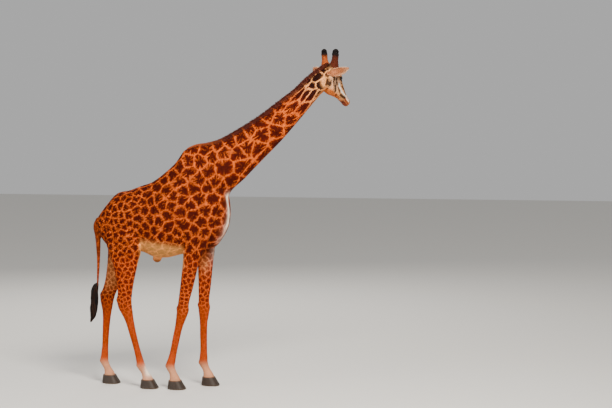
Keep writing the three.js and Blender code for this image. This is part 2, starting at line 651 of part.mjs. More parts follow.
const [trunkOnly, neckPart] = part(body, NECK_ROOT.point, NECK_ROOT.normal);
const [hindPart, forePart] = part(trunkOnly, RIB_CUT.point, RIB_CUT.normal);
const [rumpPart, bellyPart] = part(hindPart, LOIN_CUT.point, LOIN_CUT.normal);
solids.torso_chest = forePart;
solids.torso_belly = bellyPart;
solids.torso_rump = rumpPart;

const headAndNeck = join([headForm(), neckPart]);
const [neckBehind, headAhead] = part(headAndNeck, SKULL_CUT.point, SKULL_CUT.normal);
const [neckLower, neckRest] = part(neckBehind, NECK_CUTS[0].point, NECK_CUTS[0].normal);
const [neckMiddle, neckUpper] = part(neckRest, NECK_CUTS[1].point, NECK_CUTS[1].normal);
solids.neck_lower = neckLower;
solids.neck_middle = neckMiddle;
solids.neck_upper = neckUpper;

const fittings = SIDES_OF_HEAD.flatMap((way) => [eyeball(way, GAP), lidOpening(way), nostril(way)]);
solids.head = headAhead.subtract(join([...fittings, mouthLine()]));

// Horns are cut back from the flesh, ears from flesh and horns, and the mane from all of them.
const clear = [grown(join([headForm(), body]))];
for (const way of SIDES_OF_HEAD) {
  const side = way > 0 ? "left" : "right";
  solids[`eye_${side}`] = eyeball(way);
  solids[`horn_${side}`] = biggest(hornForm(way).subtract(clear[0]));
  clear.push(grown(hornForm(way)));
}
for (const way of SIDES_OF_HEAD) {
  const side = way > 0 ? "left" : "right";
  solids[`ear_${side}`] = biggest(earForm(way).subtract(join(clear)));
}
clear.push(...SIDES_OF_HEAD.map((way) => grown(earForm(way))));

for (const [name, leg] of Object.entries(LEGS)) {
  const above = beyond(leg.form, [0, 0, HOOF.height + GAP / 2], [0, 0, 1]);
  const below = beyond(above, [0, 0, LEG_TOP], [0, 0, -1]);
  const knee = leg.stations.findIndex((s) => s.z < 1150);
  const [joint, next] = [leg.stations[knee], leg.stations[knee + 1]];
  const cut = leg.stations.at(-5);
  const [lowerAll, upper] = part(below, [joint.x, 0, mix(joint.z, next.z, 0.4)], [0, 0, 1]);
  const [foot, shin] = part(lowerAll, [cut.x, 0, cut.z], [0, 0, 1]);
  solids[`leg_${name}_upper`] = upper;
  solids[`leg_${name}_shin`] = shin;
  solids[`leg_${name}_foot`] = foot;
  solids[`hoof_${name}_outer`] = toe(leg, true);
  solids[`hoof_${name}_inner`] = toe(leg, false);
}

// The mane is parted twice, square to the line of the neck.
const MANE_CUTS = [0.36, 0.68].map((share) => crest(share));
let mane = biggest(maneForm().subtract(join(clear)));
for (const [i, name] of ["lower", "middle"].entries()) {
  const { place, along } = MANE_CUTS[i];
  const [here, rest] = part(mane, place.toArray(), along.toArray());
  solids[`mane_${name}`] = here;
  mane = rest;
}
solids.mane_upper = mane;

const tail = tailForm().subtract(grown(rumpPart));
solids.tail_dock = beyond(tail, [0, 0, TAIL_TUFT.top], [0, 0, 1]);
solids.tail_tuft = beyond(join([tuftForm(), tail]), [0, 0, TAIL_TUFT.top], [0, 0, -1]);

// ---------------------------------------------------------------- colours and assembly
const coat = (colour, roughness = 0.85) => new THREE.MeshStandardMaterial({ color: colour, roughness, metalness: 0 });
const MATERIALS = {
  patched: coat(0x8f3f1a),
  leg: coat(0xa4521f),
  pale: coat(0xe2c39c),
  mane: coat(0x5a2413, 0.9),
  tuft: coat(0x16110f, 0.7),
  horn: coat(0x6b2a14),
  eye: new THREE.MeshStandardMaterial({ color: 0x140b07, roughness: 0.08, metalness: 0 }),
  hoof: coat(0x3b2f27, 0.55),
};

function materialFor(name) {
  if (name.startsWith("hoof")) return MATERIALS.hoof;
  if (name.startsWith("eye")) return MATERIALS.eye;
  if (name.startsWith("horn")) return MATERIALS.horn;
  if (name.startsWith("mane")) return MATERIALS.mane;
  if (name === "tail_tuft") return MATERIALS.tuft;
  if (name.startsWith("ear") || name.endsWith("foot")) return MATERIALS.pale;
  return name.startsWith("leg") ? MATERIALS.leg : MATERIALS.patched;
}

function meshOf(name, form) {
  const { vertProperties, triVerts } = biggest(form).getMesh();
  const geometry = new THREE.BufferGeometry();
  geometry.setAttribute("position", new THREE.BufferAttribute(new Float32Array(vertProperties), 3));
  geometry.setIndex(new THREE.BufferAttribute(new Uint32Array(triVerts), 1));
  geometry.computeVertexNormals();
  const mesh = new THREE.Mesh(geometry, materialFor(name));
  mesh.name = name;
  return mesh;
}

const giraffe = new THREE.Group();
for (const [name, form] of Object.entries(solids)) giraffe.add(meshOf(name, form));

// The model's own origin lies on the floor under the middle of the whole animal.
const size = new THREE.Box3().setFromObject(giraffe);
giraffe.position.set(-(size.min.x + size.max.x) / 2, -(size.min.y + size.max.y) / 2, -size.min.z);

export default giraffe;
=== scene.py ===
from math import cos, pi, radians, sin, tan

import bmesh
import bpy
import numpy as np
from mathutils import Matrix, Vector
from mathutils.bvhtree import BVHTree
from mathutils.kdtree import KDTree


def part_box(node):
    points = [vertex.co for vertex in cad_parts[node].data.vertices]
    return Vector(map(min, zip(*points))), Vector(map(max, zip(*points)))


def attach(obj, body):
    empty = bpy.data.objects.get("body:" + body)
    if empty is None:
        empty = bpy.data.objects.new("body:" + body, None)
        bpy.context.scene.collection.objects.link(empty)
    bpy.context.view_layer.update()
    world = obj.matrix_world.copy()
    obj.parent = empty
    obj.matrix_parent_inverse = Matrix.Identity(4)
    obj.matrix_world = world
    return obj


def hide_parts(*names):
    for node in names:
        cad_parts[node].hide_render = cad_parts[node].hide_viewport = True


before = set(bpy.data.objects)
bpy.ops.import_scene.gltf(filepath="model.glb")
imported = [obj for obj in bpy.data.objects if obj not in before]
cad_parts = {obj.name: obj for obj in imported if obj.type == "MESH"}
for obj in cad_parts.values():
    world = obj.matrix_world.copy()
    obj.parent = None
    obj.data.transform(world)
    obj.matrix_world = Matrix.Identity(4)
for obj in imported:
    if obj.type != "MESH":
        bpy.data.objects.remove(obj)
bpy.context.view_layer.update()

# ------------------------------------------------------------------ the floor point, camera and light
# The animal's own measures run from a point on the floor under its barrel, between the two cuts of
# the belly. The camera stands low and far off to the right side, as a long lens sees it.
BELLY_CUTS = (-0.232, 0.150)
belly_low, belly_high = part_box("torso_belly")
FLOOR_POINT = np.array([
    (belly_low.x + belly_high.x - sum(BELLY_CUTS)) / 2, (belly_low.y + belly_high.y) / 2, 0,
])

VIEW_AIM = np.array([1.798, 0.380, 2.300])
VIEW_TURN = 8.8  # degrees from square to the side, towards the head
VIEW_DOWN = 4.7
VIEW_DISTANCE = 26.0
VIEW_WIDTH = 16.84  # degrees across the frame

turn, down = radians(VIEW_TURN), radians(VIEW_DOWN)
view_axis = Vector((-sin(turn) * cos(down), cos(turn) * cos(down), -sin(down)))
camera = bpy.data.objects.new("camera", bpy.data.cameras.new("camera"))
camera.data.sensor_width = 36
camera.data.lens = 18 / tan(radians(VIEW_WIDTH) / 2)
camera.data.clip_end = 200
camera.location = Vector(VIEW_AIM + FLOOR_POINT) - view_axis * VIEW_DISTANCE
camera.rotation_euler = view_axis.to_track_quat("-Z", "Y").to_euler()
bpy.context.scene.collection.objects.link(camera)
bpy.context.scene.camera = camera


def area_light(name, place, size, power, tint, target=(0, 0, 2.1)):
    light = bpy.data.objects.new(name, bpy.data.lights.new(name, "AREA"))
    light.data.shape = "RECTANGLE"
    light.data.size, light.data.size_y = size
    light.data.energy = power
    light.data.color = tint
    light.location = place
    light.rotation_euler = (Vector(target) - Vector(place)).to_track_quat("-Z", "Y").to_euler()
    bpy.context.scene.collection.objects.link(light)


area_light("key_light", (3.5, -7.5, 9.0), (3.6, 3.0), 2100, (1.0, 0.95, 0.87))
area_light("fill_light", (-8.0, -7.0, 4.5), (6, 6), 380, (0.97, 0.97, 1.0))
area_light("back_light", (-3.0, 9.0, 7.5), (7, 5), 650, (1.0, 0.97, 0.93))
world = bpy.data.worlds.new("studio")
world.use_nodes = True
world.node_tree.nodes["Background"].inputs["Color"].default_value = (0.86, 0.86, 0.86, 1)
world.node_tree.nodes["Background"].inputs["Strength"].default_value = 0.55
bpy.context.scene.world = world

# ------------------------------------------------------------------ the skin: body, legs and tail
# One hide covers the whole animal. The trunk, limbs and tail are rings drawn through their own
# stations, in millimetres from the floor point, fused into one surface and then sculpted.
MM = 0.001
COAT_DEPTH = 0.004  # how far the hide lies under the tips of the short coat
BODY_GRAIN = 0.010  # spacing of the fused surface on the body
BODY_FACES = 108_000  # triangles left on the body once its flat stretches are thinned

# spine x z, keel x z, y, half width, widest place from keel to spine, squareness above and below
TRUNK = [
    (-806, 2090, -796, 1985, 0, 42, 0.5, 2, 2),  # tail root
    (-770, 2165, -742, 1868, 0, 118, 0.6, 2, 2),  # pin bones
    (-660, 2312, -650, 1765, 0, 188, 0.6, 1.9, 2),  # rump
    (-536, 2440, -510, 1730, 0, 232, 0.62, 1.9, 2),  # croup
    (-378, 2480, -360, 1718, 0, 250, 0.66, 1.9, 2),  # hips
    (-230, 2536, -210, 1702, 0, 256, 0.56, 1.85, 2.1),  # loin
    (-90, 2586, -65, 1642, 0, 292, 0.46, 1.8, 2.1),  # flank
    (60, 2694, 95, 1634, 0, 318, 0.42, 1.75, 2.1),  # barrel
    (210, 2832, 265, 1676, 0, 318, 0.42, 1.65, 2.1),  # ribs
    (322, 2986, 415, 1708, 0, 285, 0.4, 1.55, 2),  # behind the shoulder
    (432, 3030, 560, 1738, 0, 252, 0.38, 1.5, 1.9),  # withers
    (500, 3042, 708, 1778, 0, 236, 0.38, 1.55, 1.9),  # shoulder
    (556, 3044, 808, 1896, 0, 224, 0.36, 1.6, 1.9),  # point of shoulder
    (606, 3046, 884, 2050, 0, 212, 0.36, 1.7, 1.9),  # breast
    (650, 3052, 902, 2222, 0, 198, 0.38, 1.75, 1.9),  # upper breast
    (704, 3062, 884, 2420, 0, 176, 0.42, 1.8, 1.9),  # neck root
    (815, 3098, 1090, 2642, 1, 142, 0.46, 1.8, 1.9),  # low neck
    (1041, 3219, 1328, 2889, 4, 119, 0.48, 1.8, 2),  # lower neck
    (1320, 3399, 1560, 3126, 12, 107, 0.48, 1.8, 2),  # mid neck
    (1523, 3553, 1731, 3325, 30, 99, 0.48, 1.8, 2),  # upper neck
    (1720, 3709, 1887, 3511, 56, 94, 0.5, 1.9, 2),  # high neck
    (1876, 3867, 2028, 3682, 84, 93, 0.5, 1.9, 2),  # nape
    (1980, 3966, 2124, 3780, 112, 90, 0.5, 2, 2),  # behind the skull
    (2062, 4030, 2172, 3880, 150, 66, 0.5, 2, 2),  # inside the skull
]
CROWN = 112.3  # height of the hoof's crown
JOINTS = {  # x, z and distance from the middle plane of each limb's joints
    "fore_right": {"elbow": (458, 1690, 186), "knee": (318, 985, 172), "fetlock": (170, 292, 166),
                   "crown": (222, CROWN, 166)},
    "fore_left": {"elbow": (556, 1690, 186), "knee": (520, 985, 176), "fetlock": (524, 292, 172),
                  "crown": (584, CROWN, 172)},
    "hind_right": {"hip": (-462, 2310, 112), "stifle": (-424, 1700, 160), "hock": (-412, 1050, 150),
                   "fetlock": (-206, 286, 150), "crown": (-132, CROWN, 150)},
    "hind_left": {"hip": (-478, 2310, 112), "stifle": (-535, 1700, 160), "hock": (-716, 1090, 156),
                  "fetlock": (-758, 286, 158), "crown": (-700, CROWN, 158)},
}
SIDE_OF = {name: 1 if name.endswith("left") else -1 for name in JOINTS}
# share of the way to the next joint, reach to the front, to the rear and to each side
FOREARM = [(0.16, 98, 106, 72), (0.36, 92, 94, 65), (0.6, 84, 82, 57), (0.84, 72, 72, 54)]
FORE_SHIN = [
    (0.12, 72, 60, 62), (0.26, 54, 52, 48), (0.5, 47, 51, 41), (0.78, 46, 50, 41), (0.92, 50, 60, 50),
]
THIGH = [(0.1, 120, 130, 66), (0.32, 188, 212, 90), (0.62, 216, 225, 102), (0.85, 224, 205, 104)]
GASKIN = [(0.22, 176, 146, 86), (0.45, 138, 116, 72), (0.68, 106, 98, 58), (0.88, 86, 100, 56)]
HIND_SHIN = [(0.1, 74, 84, 60), (0.24, 58, 60, 49), (0.5, 42, 52, 41), (0.78, 38, 50, 40), (0.92, 42, 58, 48)]
TAIL = [(-768, 2108, 46, 54), (-808, 2030, 46, 52), (-798, 1900, 38, 42), (-792, 1740, 29, 31),
        (-793, 1560, 22, 23), (-800, 1400, 18, 18), (-806, 1290, 15, 15), (-822, 1160, 12, 12)]


def read_smoothly(rows, times, per_gap):
    """Rows of numbers read as one smooth curve each, with per_gap readings from one row to the next."""
    rows, times = np.asarray(rows, float), np.asarray(times, float)
    count = len(rows)
    found = []
    for i in range(count - 1):
        start, end = times[i], times[i + 1]
        before = times[i - 1] if i else 2 * start - end
        after = times[i + 2] if i + 2 < count else 2 * end - start
        lead = (end - start) / 2 / (start - before)
        trail = (end - start) / 2 / (after - end)
        p = (np.arange(per_gap) / per_gap)[:, None]
        found.append(
            (-lead * p**3 + 2 * lead * p**2 - lead * p) * rows[i - 1 if i else 1]
            + ((1 + lead) * p**3 - (1.5 + 2 * lead) * p**2 + (lead - 0.5) * p + 1) * rows[i]
            + (-(1 + trail) * p**3 + (1.5 + trail) * p**2 + 0.5 * p) * rows[i + 1]
            + (trail * p**3 - trail * p**2) * rows[i + 2 if i + 2 < count else i]
        )
    return np.vstack(found + [rows[-1:]])


def distances(points):
    steps = np.linalg.norm(np.diff(points, axis=0), axis=1)
    return np.concatenate([[0], np.cumsum(np.maximum(steps, 1))])


def ring(centre, side, up, wide, high, low, square, square_low, sides):
    """A closed section: a superellipse with its own reach and roundness above and below its middle."""
    angle = np.arange(sides) / sides * 2 * pi
    c, s = np.cos(angle), np.sin(angle)
    power = 2 / np.where(s > 0, square, square_low)
    across = np.sign(c) * np.abs(c) ** power * wide
    tall = np.sign(s) * np.abs(s) ** power * np.where(s > 0, high, low)
    return centre + across[:, None] * side + tall[:, None] * up


def loft(rings):
    """Points and faces of a closed tube through rings of equally many points."""
    sides = len(rings[0])
    points = np.vstack(rings + [rings[0].mean(0)[None], rings[-1].mean(0)[None]])
    last = (len(rings) - 1) * sides
    faces = []
    for i in range(len(rings) - 1):
        for j in range(sides):
            a, b = i * sides + j, i * sides + (j + 1) % sides
            faces.append((a, b, b + sides, a + sides))
    for j in range(sides):
        k = (j + 1) % sides
        faces.append((k, j, len(points) - 2))
        faces.append((last + j, last + k, len(points) - 1))
    return points, faces


def unit(vectors):
    vectors = np.asarray(vectors, float)
    return vectors / np.maximum(np.linalg.norm(vectors, axis=-1, keepdims=True), 1e-12)


def trunk_rings(sides=88, per_gap=5):
    rows = np.array(TRUNK, float)
    middles = np.stack([(rows[:, 0] + rows[:, 2]) / 2, rows[:, 4], (rows[:, 1] + rows[:, 3]) / 2], 1)
    keels = np.stack([rows[:, 2], rows[:, 4], rows[:, 3]], 1)
    read = read_smoothly(rows, distances(middles) + distances(keels) / 2, per_gap)
    rings = []
    for i, (sx, sz, kx, kz, y, wide, widest, square, square_low) in enumerate(read):
        before, after = read[max(0, i - 1)], read[min(len(read) - 1, i + 1)]
        ahead_x = after[0] + after[2] - before[0] - before[2]
        side = unit([-2 * (after[4] - before[4]), ahead_x, 0])
        keel, spine = np.array([kx, y, kz]), np.array([sx, y, sz])
        tall, up = np.linalg.norm(spine - keel), unit(spine - keel)
        centre = keel + up * tall * widest
        above, below = tall * (1 - widest), tall * widest
        rings.append(ring(centre, side, up, wide, above, below, square, square_low, sides))
    return rings


def between(upper, lower, shares):
    mixed = [np.array(upper) * (1 - share) + np.array(lower) * share for share, *_ in shares]
    return [(*place, *reach) for place, (_, *reach) in zip(mixed, shares)]


def fore_stations(elbow, knee, fetlock, crown):
    return [
        (408, 2860, 60, 60, 60, 46), (440, 2700, 118, 108, 105, 62), (505, 2460, 166, 135, 140, 66),
        (560, 2230, 182, 150, 168, 76), (560, 2020, 190, 150, 172, 82),
        (540 * 0.55 + elbow[0] * 0.45, 1850, 190, 132, 140, 80), (*elbow, 108, 118, 76),
        *between(elbow, knee, FOREARM), (*knee, 80, 68, 66), *between(knee, fetlock, FORE_SHIN),
        (*fetlock, 52, 66, 55), *between(fetlock, crown, [(0.5, 50, 48, 53)]), (*crown, 72, 74, 76),
        (crown[0], crown[1] - 30, crown[2], 80, 76, 78),
    ]


def hind_stations(hip, stifle, hock, fetlock, crown):
    return [
        (*hip, 60, 60, 44), *between(hip, stifle, THIGH), (*stifle, 214, 184, 100),
        *between(stifle, hock, GASKIN), (*hock, 82, 100, 62), *between(hock, fetlock, HIND_SHIN),
        (*fetlock, 46, 64, 53), *between(fetlock, crown, [(0.5, 46, 47, 51)]), (*crown, 70, 72, 74),
        (crown[0], crown[1] - 30, crown[2], 78, 74, 76),
    ]


LIMBS = {
    name: (fore_stations if name.startswith("fore") else hind_stations)(**joints)
    for name, joints in JOINTS.items()
}


def limb_rings(stations, way, sides=40, per_gap=5):
    """Rings down a limb on one side (1 = left, -1 = right)."""
    rows = np.array(stations, float)
    middles = np.stack([rows[:, 0], rows[:, 2] * way, rows[:, 1]], 1)
    read = read_smoothly(rows, distances(middles), per_gap)
    rings = []
    for i, (x, z, out, front, rear, wide) in enumerate(read):
        before, after = read[max(0, i - 1)], read[min(len(read) - 1, i + 1)]
        along = unit([after[0] - before[0], (after[2] - before[2]) * way, after[1] - before[1]])
        side = unit(np.array([0, 1, 0]) - along * along[1])
        up = -np.cross(side, along)
        up = up if up[0] > 0 else -up
        rings.append(ring(np.array([x, out * way, z]), side, up, wide, front, rear, 2.1, 2.1, sides))
    return rings


def egg(place, halves, axes=np.eye(3), rings_across=24):
    """Points and faces of an ellipsoid whose half sizes lie along the given axes."""
    levels = np.linspace(0, pi, rings_across)[1:-1]
    rounds = np.arange(rings_across * 2) / (rings_across * 2) * 2 * pi
    circles = [
        np.stack([
            np.cos(rounds) * sin(v), np.sin(rounds) * sin(v), np.full(len(rounds), cos(v)),
        ], 1) * halves @ axes + place
        for v in levels
    ]
    return loft(circles)


def mesh_object(name, points, faces):
    """A mesh object at the origin from points in the model's frame; faces may be of any size."""
    mesh = bpy.data.meshes.new(name)
    points = np.asarray(points, np.float32)
    mesh.vertices.add(len(points))
    mesh.vertices.foreach_set("co", points.ravel())
    sizes = np.array([len(face) for face in faces], np.int32) if isinstance(faces, list) else None
    corners = np.concatenate([np.ravel(f) for f in faces]) if sizes is not None else faces.ravel()
    if sizes is None:
        sizes = np.full(len(faces), faces.shape[1], np.int32)
    mesh.loops.add(len(corners))
    mesh.loops.foreach_set("vertex_index", corners.astype(np.int32))
    mesh.polygons.add(len(sizes))
    mesh.polygons.foreach_set("loop_start", np.concatenate([[0], np.cumsum(sizes)[:-1]]).astype(np.int32))
    mesh.update(calc_edges=True)
    mesh.validate()
    mesh.shade_smooth()
    made = bpy.data.objects.new(name, mesh)
    bpy.context.scene.collection.objects.link(made)
    return made


def joined(parts):
    """Several (points, faces) pairs as one."""
    points, faces, start = [], [], 0
    for part_points, part_faces in parts:
        points.append(part_points)
        faces += [tuple(np.add(face, start)) for face in part_faces]
        start += len(part_points)
    return np.vstack(points), faces


def fused(parts, grain):
    """The outer surface round all the parts, in square faces of about one grain."""
    rough = mesh_object("rough", *joined(parts))
    remesh = rough.modifiers.new("fuse", "REMESH")
    remesh.mode = "VOXEL"
    remesh.voxel_size = grain
    whole = bpy.data.meshes.new_from_object(rough.evaluated_get(bpy.context.evaluated_depsgraph_get()))
    points = np.empty(len(whole.vertices) * 3, np.float32)
    whole.vertices.foreach_get("co", points)
    corners = np.empty(len(whole.loops), np.int32)
    whole.loops.foreach_get("vertex_index", corners)
    bpy.data.objects.remove(rough)
    bpy.data.meshes.remove(whole)
    return points.reshape(-1, 3).astype(float), corners.reshape(-1, 4)


def neighbours(quads):
    pairs = np.sort(np.vstack([quads[:, [i, (i + 1) % quads.shape[1]]] for i in range(quads.shape[1])]), 1)
    return np.unique(pairs, axis=0)


def relaxed(points, pairs, rounds, amount=0.5):
    """Points drawn towards the middle of their neighbours."""
    a, b = pairs.T
    count = np.bincount(np.concatenate([a, b]), minlength=len(points))[:, None]
    for _ in range(rounds):
        total = np.stack([
            np.bincount(a, points[b, k], len(points)) + np.bincount(b, points[a, k], len(points))
            for k in range(3)
        ], 1)
        points = points + np.asarray(amount).reshape(-1, 1) * (total / np.maximum(count, 1) - points)
    return points


def settled(points, pairs, rounds):
    """Relaxed without shrinking: each drawing in is followed by a slightly stronger letting out."""
    for _ in range(rounds):
        points = relaxed(relaxed(points, pairs, 1, 0.5), pairs, 1, -0.52)
    return points


def normals_of(points, faces):
    normal = np.zeros_like(points)
    for k in range(2, faces.shape[1]):
        corner = faces[:, [0, k - 1, k]]
        apex = points[corner[:, 0]]
        across = np.cross(points[corner[:, 1]] - apex, points[corner[:, 2]] - apex)
        for j in range(3):
            for axis in range(3):
                normal[:, axis] += np.bincount(corner[:, j], across[:, axis], len(points))
    return unit(normal)


def smooth_step(low, high, value):
    t = np.clip((value - low) / (high - low), 0, 1)
    return t * t * (3 - 2 * t)


def swollen(points, normals, forms):
    """Moves points along their normals: each form is a place, half sizes and a height in millimetres."""
    rise = np.zeros(len(points))
    for place, halves, height in forms:
        rise += height * np.exp(-1.6 * (((points - np.array(place)) / np.array(halves)) ** 2).sum(1))
    return points + normals * rise[:, None]


body_parts = [loft(trunk_rings())]
body_parts += [loft(limb_rings(stations, SIDE_OF[name])) for name, stations in LIMBS.items()]
body_parts.append(loft(limb_rings([(x, z, 0, deep, deep, wide) for x, z, deep, wide in TAIL], 1, 24, 4)))
body_parts.append(egg((-34, 0, 1622), (60, 34, 48)))
body_points, body_quads = fused([(points * MM, faces) for points, faces in body_parts], BODY_GRAIN)
body_pairs = neighbours(body_quads)
body_points = settled(body_points / MM, body_pairs, 6)


def mirrored(forms):
    return [form for (x, y, z), *rest in forms for form in (((x, y, z), *rest), ((x, -y, z), *rest))]


TORSO_FORMS = mirrored([
    ((-300, 172, 2362), (75, 52, 62), 17),  # hip bone
    ((-175, 215, 2310), (105, 70, 95), -13),  # hollow of the flank under the loin
    ((-745, 72, 2115), (52, 36, 52), 13),  # pin bone
    ((-60, 240, 1830), (150, 90, 90), 2),  # belly
    ((455, 175, 2760), (55, 60, 200), 9),  # ridge of the shoulder blade
    ((560, 190, 2700), (45, 60, 180), -7),  # hollow in front of it
    ((330, 230, 2640), (60, 70, 230), -8),  # hollow behind it
    ((700, 190, 2230), (80, 60, 100), 12),  # point of the shoulder
    ((770, 90, 1960), (95, 70, 120), 12),  # breast muscle
    ((610, 240, 1960), (50, 60, 160), -9),  # groove between breast and upper arm
    ((700, 150, 2520), (120, 60, 60), 8),  # root of the neck
]) + [
    ((868, 0, 2080), (70, 24, 260), -15),  # groove down the breast
    ((-35, 0, 1590), (40, 30, 26), 7),  # mouth of the sheath
]
NECK_RISE = np.array([(1090, 2642), (1328, 2889), (1560, 3126), (1731, 3325), (1887, 3511), (2028, 3682)])
for k, (x, z) in enumerate(NECK_RISE):  # the neck bones show as low swellings, with the windpipe below
    TORSO_FORMS += mirrored([((x - 105, 96 - 4 * k, z + 130), (72, 50, 46), 6)])
    TORSO_FORMS += mirrored([((x - 38, 74 - 4 * k, z + 58), (105, 26, 30), -5)])


def beside(way):
    """Gives places by the joints of a leg: so far ahead of one, outwards from it and above it."""
    def place(joint, ahead, out, rise):
        return (joint[0] + ahead, way * (joint[2] + out), joint[1] + rise)

    return place


def fore_forms(way, elbow, knee, fetlock, **_):
    at = beside(way)
    middle = tuple((np.array(knee) * 0.5 + np.array(fetlock) * 0.5))
    return [
        (at(elbow, -35, 60, 310), (120, 70, 190), 13),  # long muscle behind the upper arm
        (at(elbow, 60, 60, 330), (40, 70, 190), -8),
        (at(elbow, -112, 15, 55), (46, 50, 50), 13),  # point of the elbow
        (at(elbow, 45, 60, -110), (50, 50, 150), 8),  # muscle down the front of the forearm
        (at(elbow, -10, 62, -190), (22, 40, 190), -6),
        (at(knee, 72, 0, 8), (34, 46, 55), 9),
        (at(knee, 10, 60, 10), (40, 28, 45), 6),
        (at(knee, 10, -60, 10), (40, 28, 45), 6),
        (at(knee, -66, 0, 38), (26, 24, 34), 13),
        (at(knee, -52, 34, 80), (22, 22, 60), -5),
        (at(knee, -52, -34, 80), (22, 22, 60), -5),
        (at(middle, -14, 46, 0), (13, 26, 260), -7),  # between cannon bone and tendon
        (at(middle, -14, -46, 0), (13, 26, 260), -7),
        (at(fetlock, -60, 0, -4), (26, 34, 30), 9),
        (at(fetlock, 0, 52, 6), (34, 22, 34), 5),
        (at(fetlock, 0, -52, 6), (34, 22, 34), 5),
    ]


def hind_forms(way, hip, stifle, hock, fetlock, **_):
    at = beside(way)
    middle = tuple((np.array(hock) * 0.5 + np.array(fetlock) * 0.5))
    return [
        (at(hip, 30, 120, -170), (120, 60, 160), 10),  # rump muscle
        (at(stifle, -20, 90, 250), (120, 60, 180), 9),
        (at(stifle, -150, 80, 230), (26, 80, 260), -9),  # groove down the back of the thigh
        (at(stifle, 190, 30, 20), (50, 70, 72), 11),  # kneecap
        (at(stifle, 130, 60, -110), (90, 60, 60), -6),
        (at(stifle, -20, 70, -170), (90, 50, 120), 8),
        (at(hock, -106, 0, 62), (30, 28, 48), 17),  # point of the hock
        (at(hock, -62, 36, 190), (26, 30, 120), -13),  # hollow in front of the great tendon
        (at(hock, -62, -36, 190), (26, 30, 120), -13),
        (at(hock, 62, 0, 0), (34, 44, 55), 6),
        (at(hock, 6, 56, 0), (44, 26, 48), 6),
        (at(hock, 6, -56, 0), (44, 26, 48), 6),
        (at(middle, -14, 45, 0), (13, 26, 290), -7),
        (at(middle, -14, -45, 0), (13, 26, 290), -7),
        (at(fetlock, -58, 0, -4), (26, 34, 30), 9),
        (at(fetlock, 0, 50, 6), (34, 22, 34), 5),
        (at(fetlock, 0, -50, 6), (34, 22, 34), 5),
    ]


forms = list(TORSO_FORMS)
for name, joints in JOINTS.items():
    forms += (fore_forms if name.startswith("fore") else hind_forms)(SIDE_OF[name], **joints)
body_normals = normals_of(body_points, body_quads)
x, y, z = body_points.T
barrel = smooth_step(-120, 20, x) * smooth_step(520, 380, x)
barrel = barrel * smooth_step(1760, 1900, z) * smooth_step(2560, 2380, z)
ribs = 2.0 * barrel * np.cos((x + 0.22 * (z - 2000)) / 62 * 2 * pi) * smooth_step(180, 260, np.abs(y))
body_points = swollen(body_points, body_normals, forms) + body_normals * ribs[:, None]
body_points = settled(body_points, body_pairs, 2) - body_normals * (COAT_DEPTH / MM)


def thinned(points, quads, faces_left):
    """The same surface in fewer triangles, thinned most where it is flat."""
    full = mesh_object("full", points, quads)
    thin = full.modifiers.new("thin", "DECIMATE")
    thin.ratio = faces_left / (2 * len(quads))
    less = bpy.data.meshes.new_from_object(full.evaluated_get(bpy.context.evaluated_depsgraph_get()))
    less.calc_loop_triangles()
    places = np.empty(len(less.vertices) * 3, np.float32)
    less.vertices.foreach_get("co", places)
    corners = np.empty(len(less.loop_triangles) * 3, np.int32)
    less.loop_triangles.foreach_get("vertices", corners)
    bpy.data.objects.remove(full)
    bpy.data.meshes.remove(less)
    return places.reshape(-1, 3).astype(float), corners.reshape(-1, 3)


body_points, body_faces = thinned(body_points, body_quads, BODY_FACES)

# ------------------------------------------------------------------ the skin: head
# The head has its own axes: along the face from the poll, out to the left, and up. It is fused on
# a finer grain with a length of neck, sculpted, and sewn to the body's surface round the neck.
HEAD_GRAIN = 0.0034
HEAD_PITCH, HEAD_YAW = radians(34), radians(69)
POLL = np.array([2081, 119, 3966])
HEAD_AHEAD = np.array([cos(HEAD_PITCH) * cos(HEAD_YAW), cos(HEAD_PITCH) * sin(HEAD_YAW), -sin(HEAD_PITCH)])
HEAD_LEFT = np.array([-sin(HEAD_YAW), cos(HEAD_YAW), 0])
HEAD_AXES = np.array([HEAD_AHEAD, HEAD_LEFT, np.cross(HEAD_AHEAD, HEAD_LEFT)])
SEAM = np.array([1952, 84, 3775])  # where the head's surface is sewn on
SEAM_WAY = unit([0.69, 0.17, 0.70])
EYE_RADIUS, EYE_PLACE = 27, (208, 96, 32)

# along, top, bottom, half width, widest place from bottom to top, squareness above and below it
SKULL = [
    (-34, 38, -60, 42, 0.5, 2, 2), (-14, 68, -100, 74, 0.55, 2, 2), (35, 110, -142, 98, 0.6, 2.1, 1.9),
    (92, 130, -178, 104, 0.65, 2.2, 1.8), (155, 124, -199, 103, 0.7, 2.2, 2),
    (218, 120, -193, 98, 0.71, 2.2, 2.2), (275, 108, -174, 93, 0.7, 2.1, 2.2),
    (345, 92, -145, 87, 0.64, 2, 2.2),
    (422, 71, -116, 76, 0.56, 2, 2.1), (500, 48, -93, 63, 0.5, 2, 2), (570, 29, -83, 53, 0.5, 2.1, 2.1),
    (625, 10, -78, 49, 0.5, 2.1, 2.2), (665, -10, -77, 43, 0.45, 2.1, 2.2), (688, -29, -72, 30, 0.45, 2, 2),
    (698, -43, -66, 14, 0.5, 2, 2),
]
SKULL_LUMPS = mirrored([
    ((226, 0, 92), (104, 58, 36)), ((66, 0, 96), (84, 98, 52)), ((205, 62, 70), (84, 50, 42)),
    ((92, 64, 74), (78, 54, 58)), ((165, 48, -92), (100, 42, 84)), ((650, 28, -22), (40, 23, 26)),
    ((208, 91, 32), (46, 31, 38)), ((18, 84, 30), (40, 34, 38)),
])


def from_head(points):
    return points @ HEAD_AXES + POLL


def to_head(points):
    return (points - POLL) @ HEAD_AXES.T


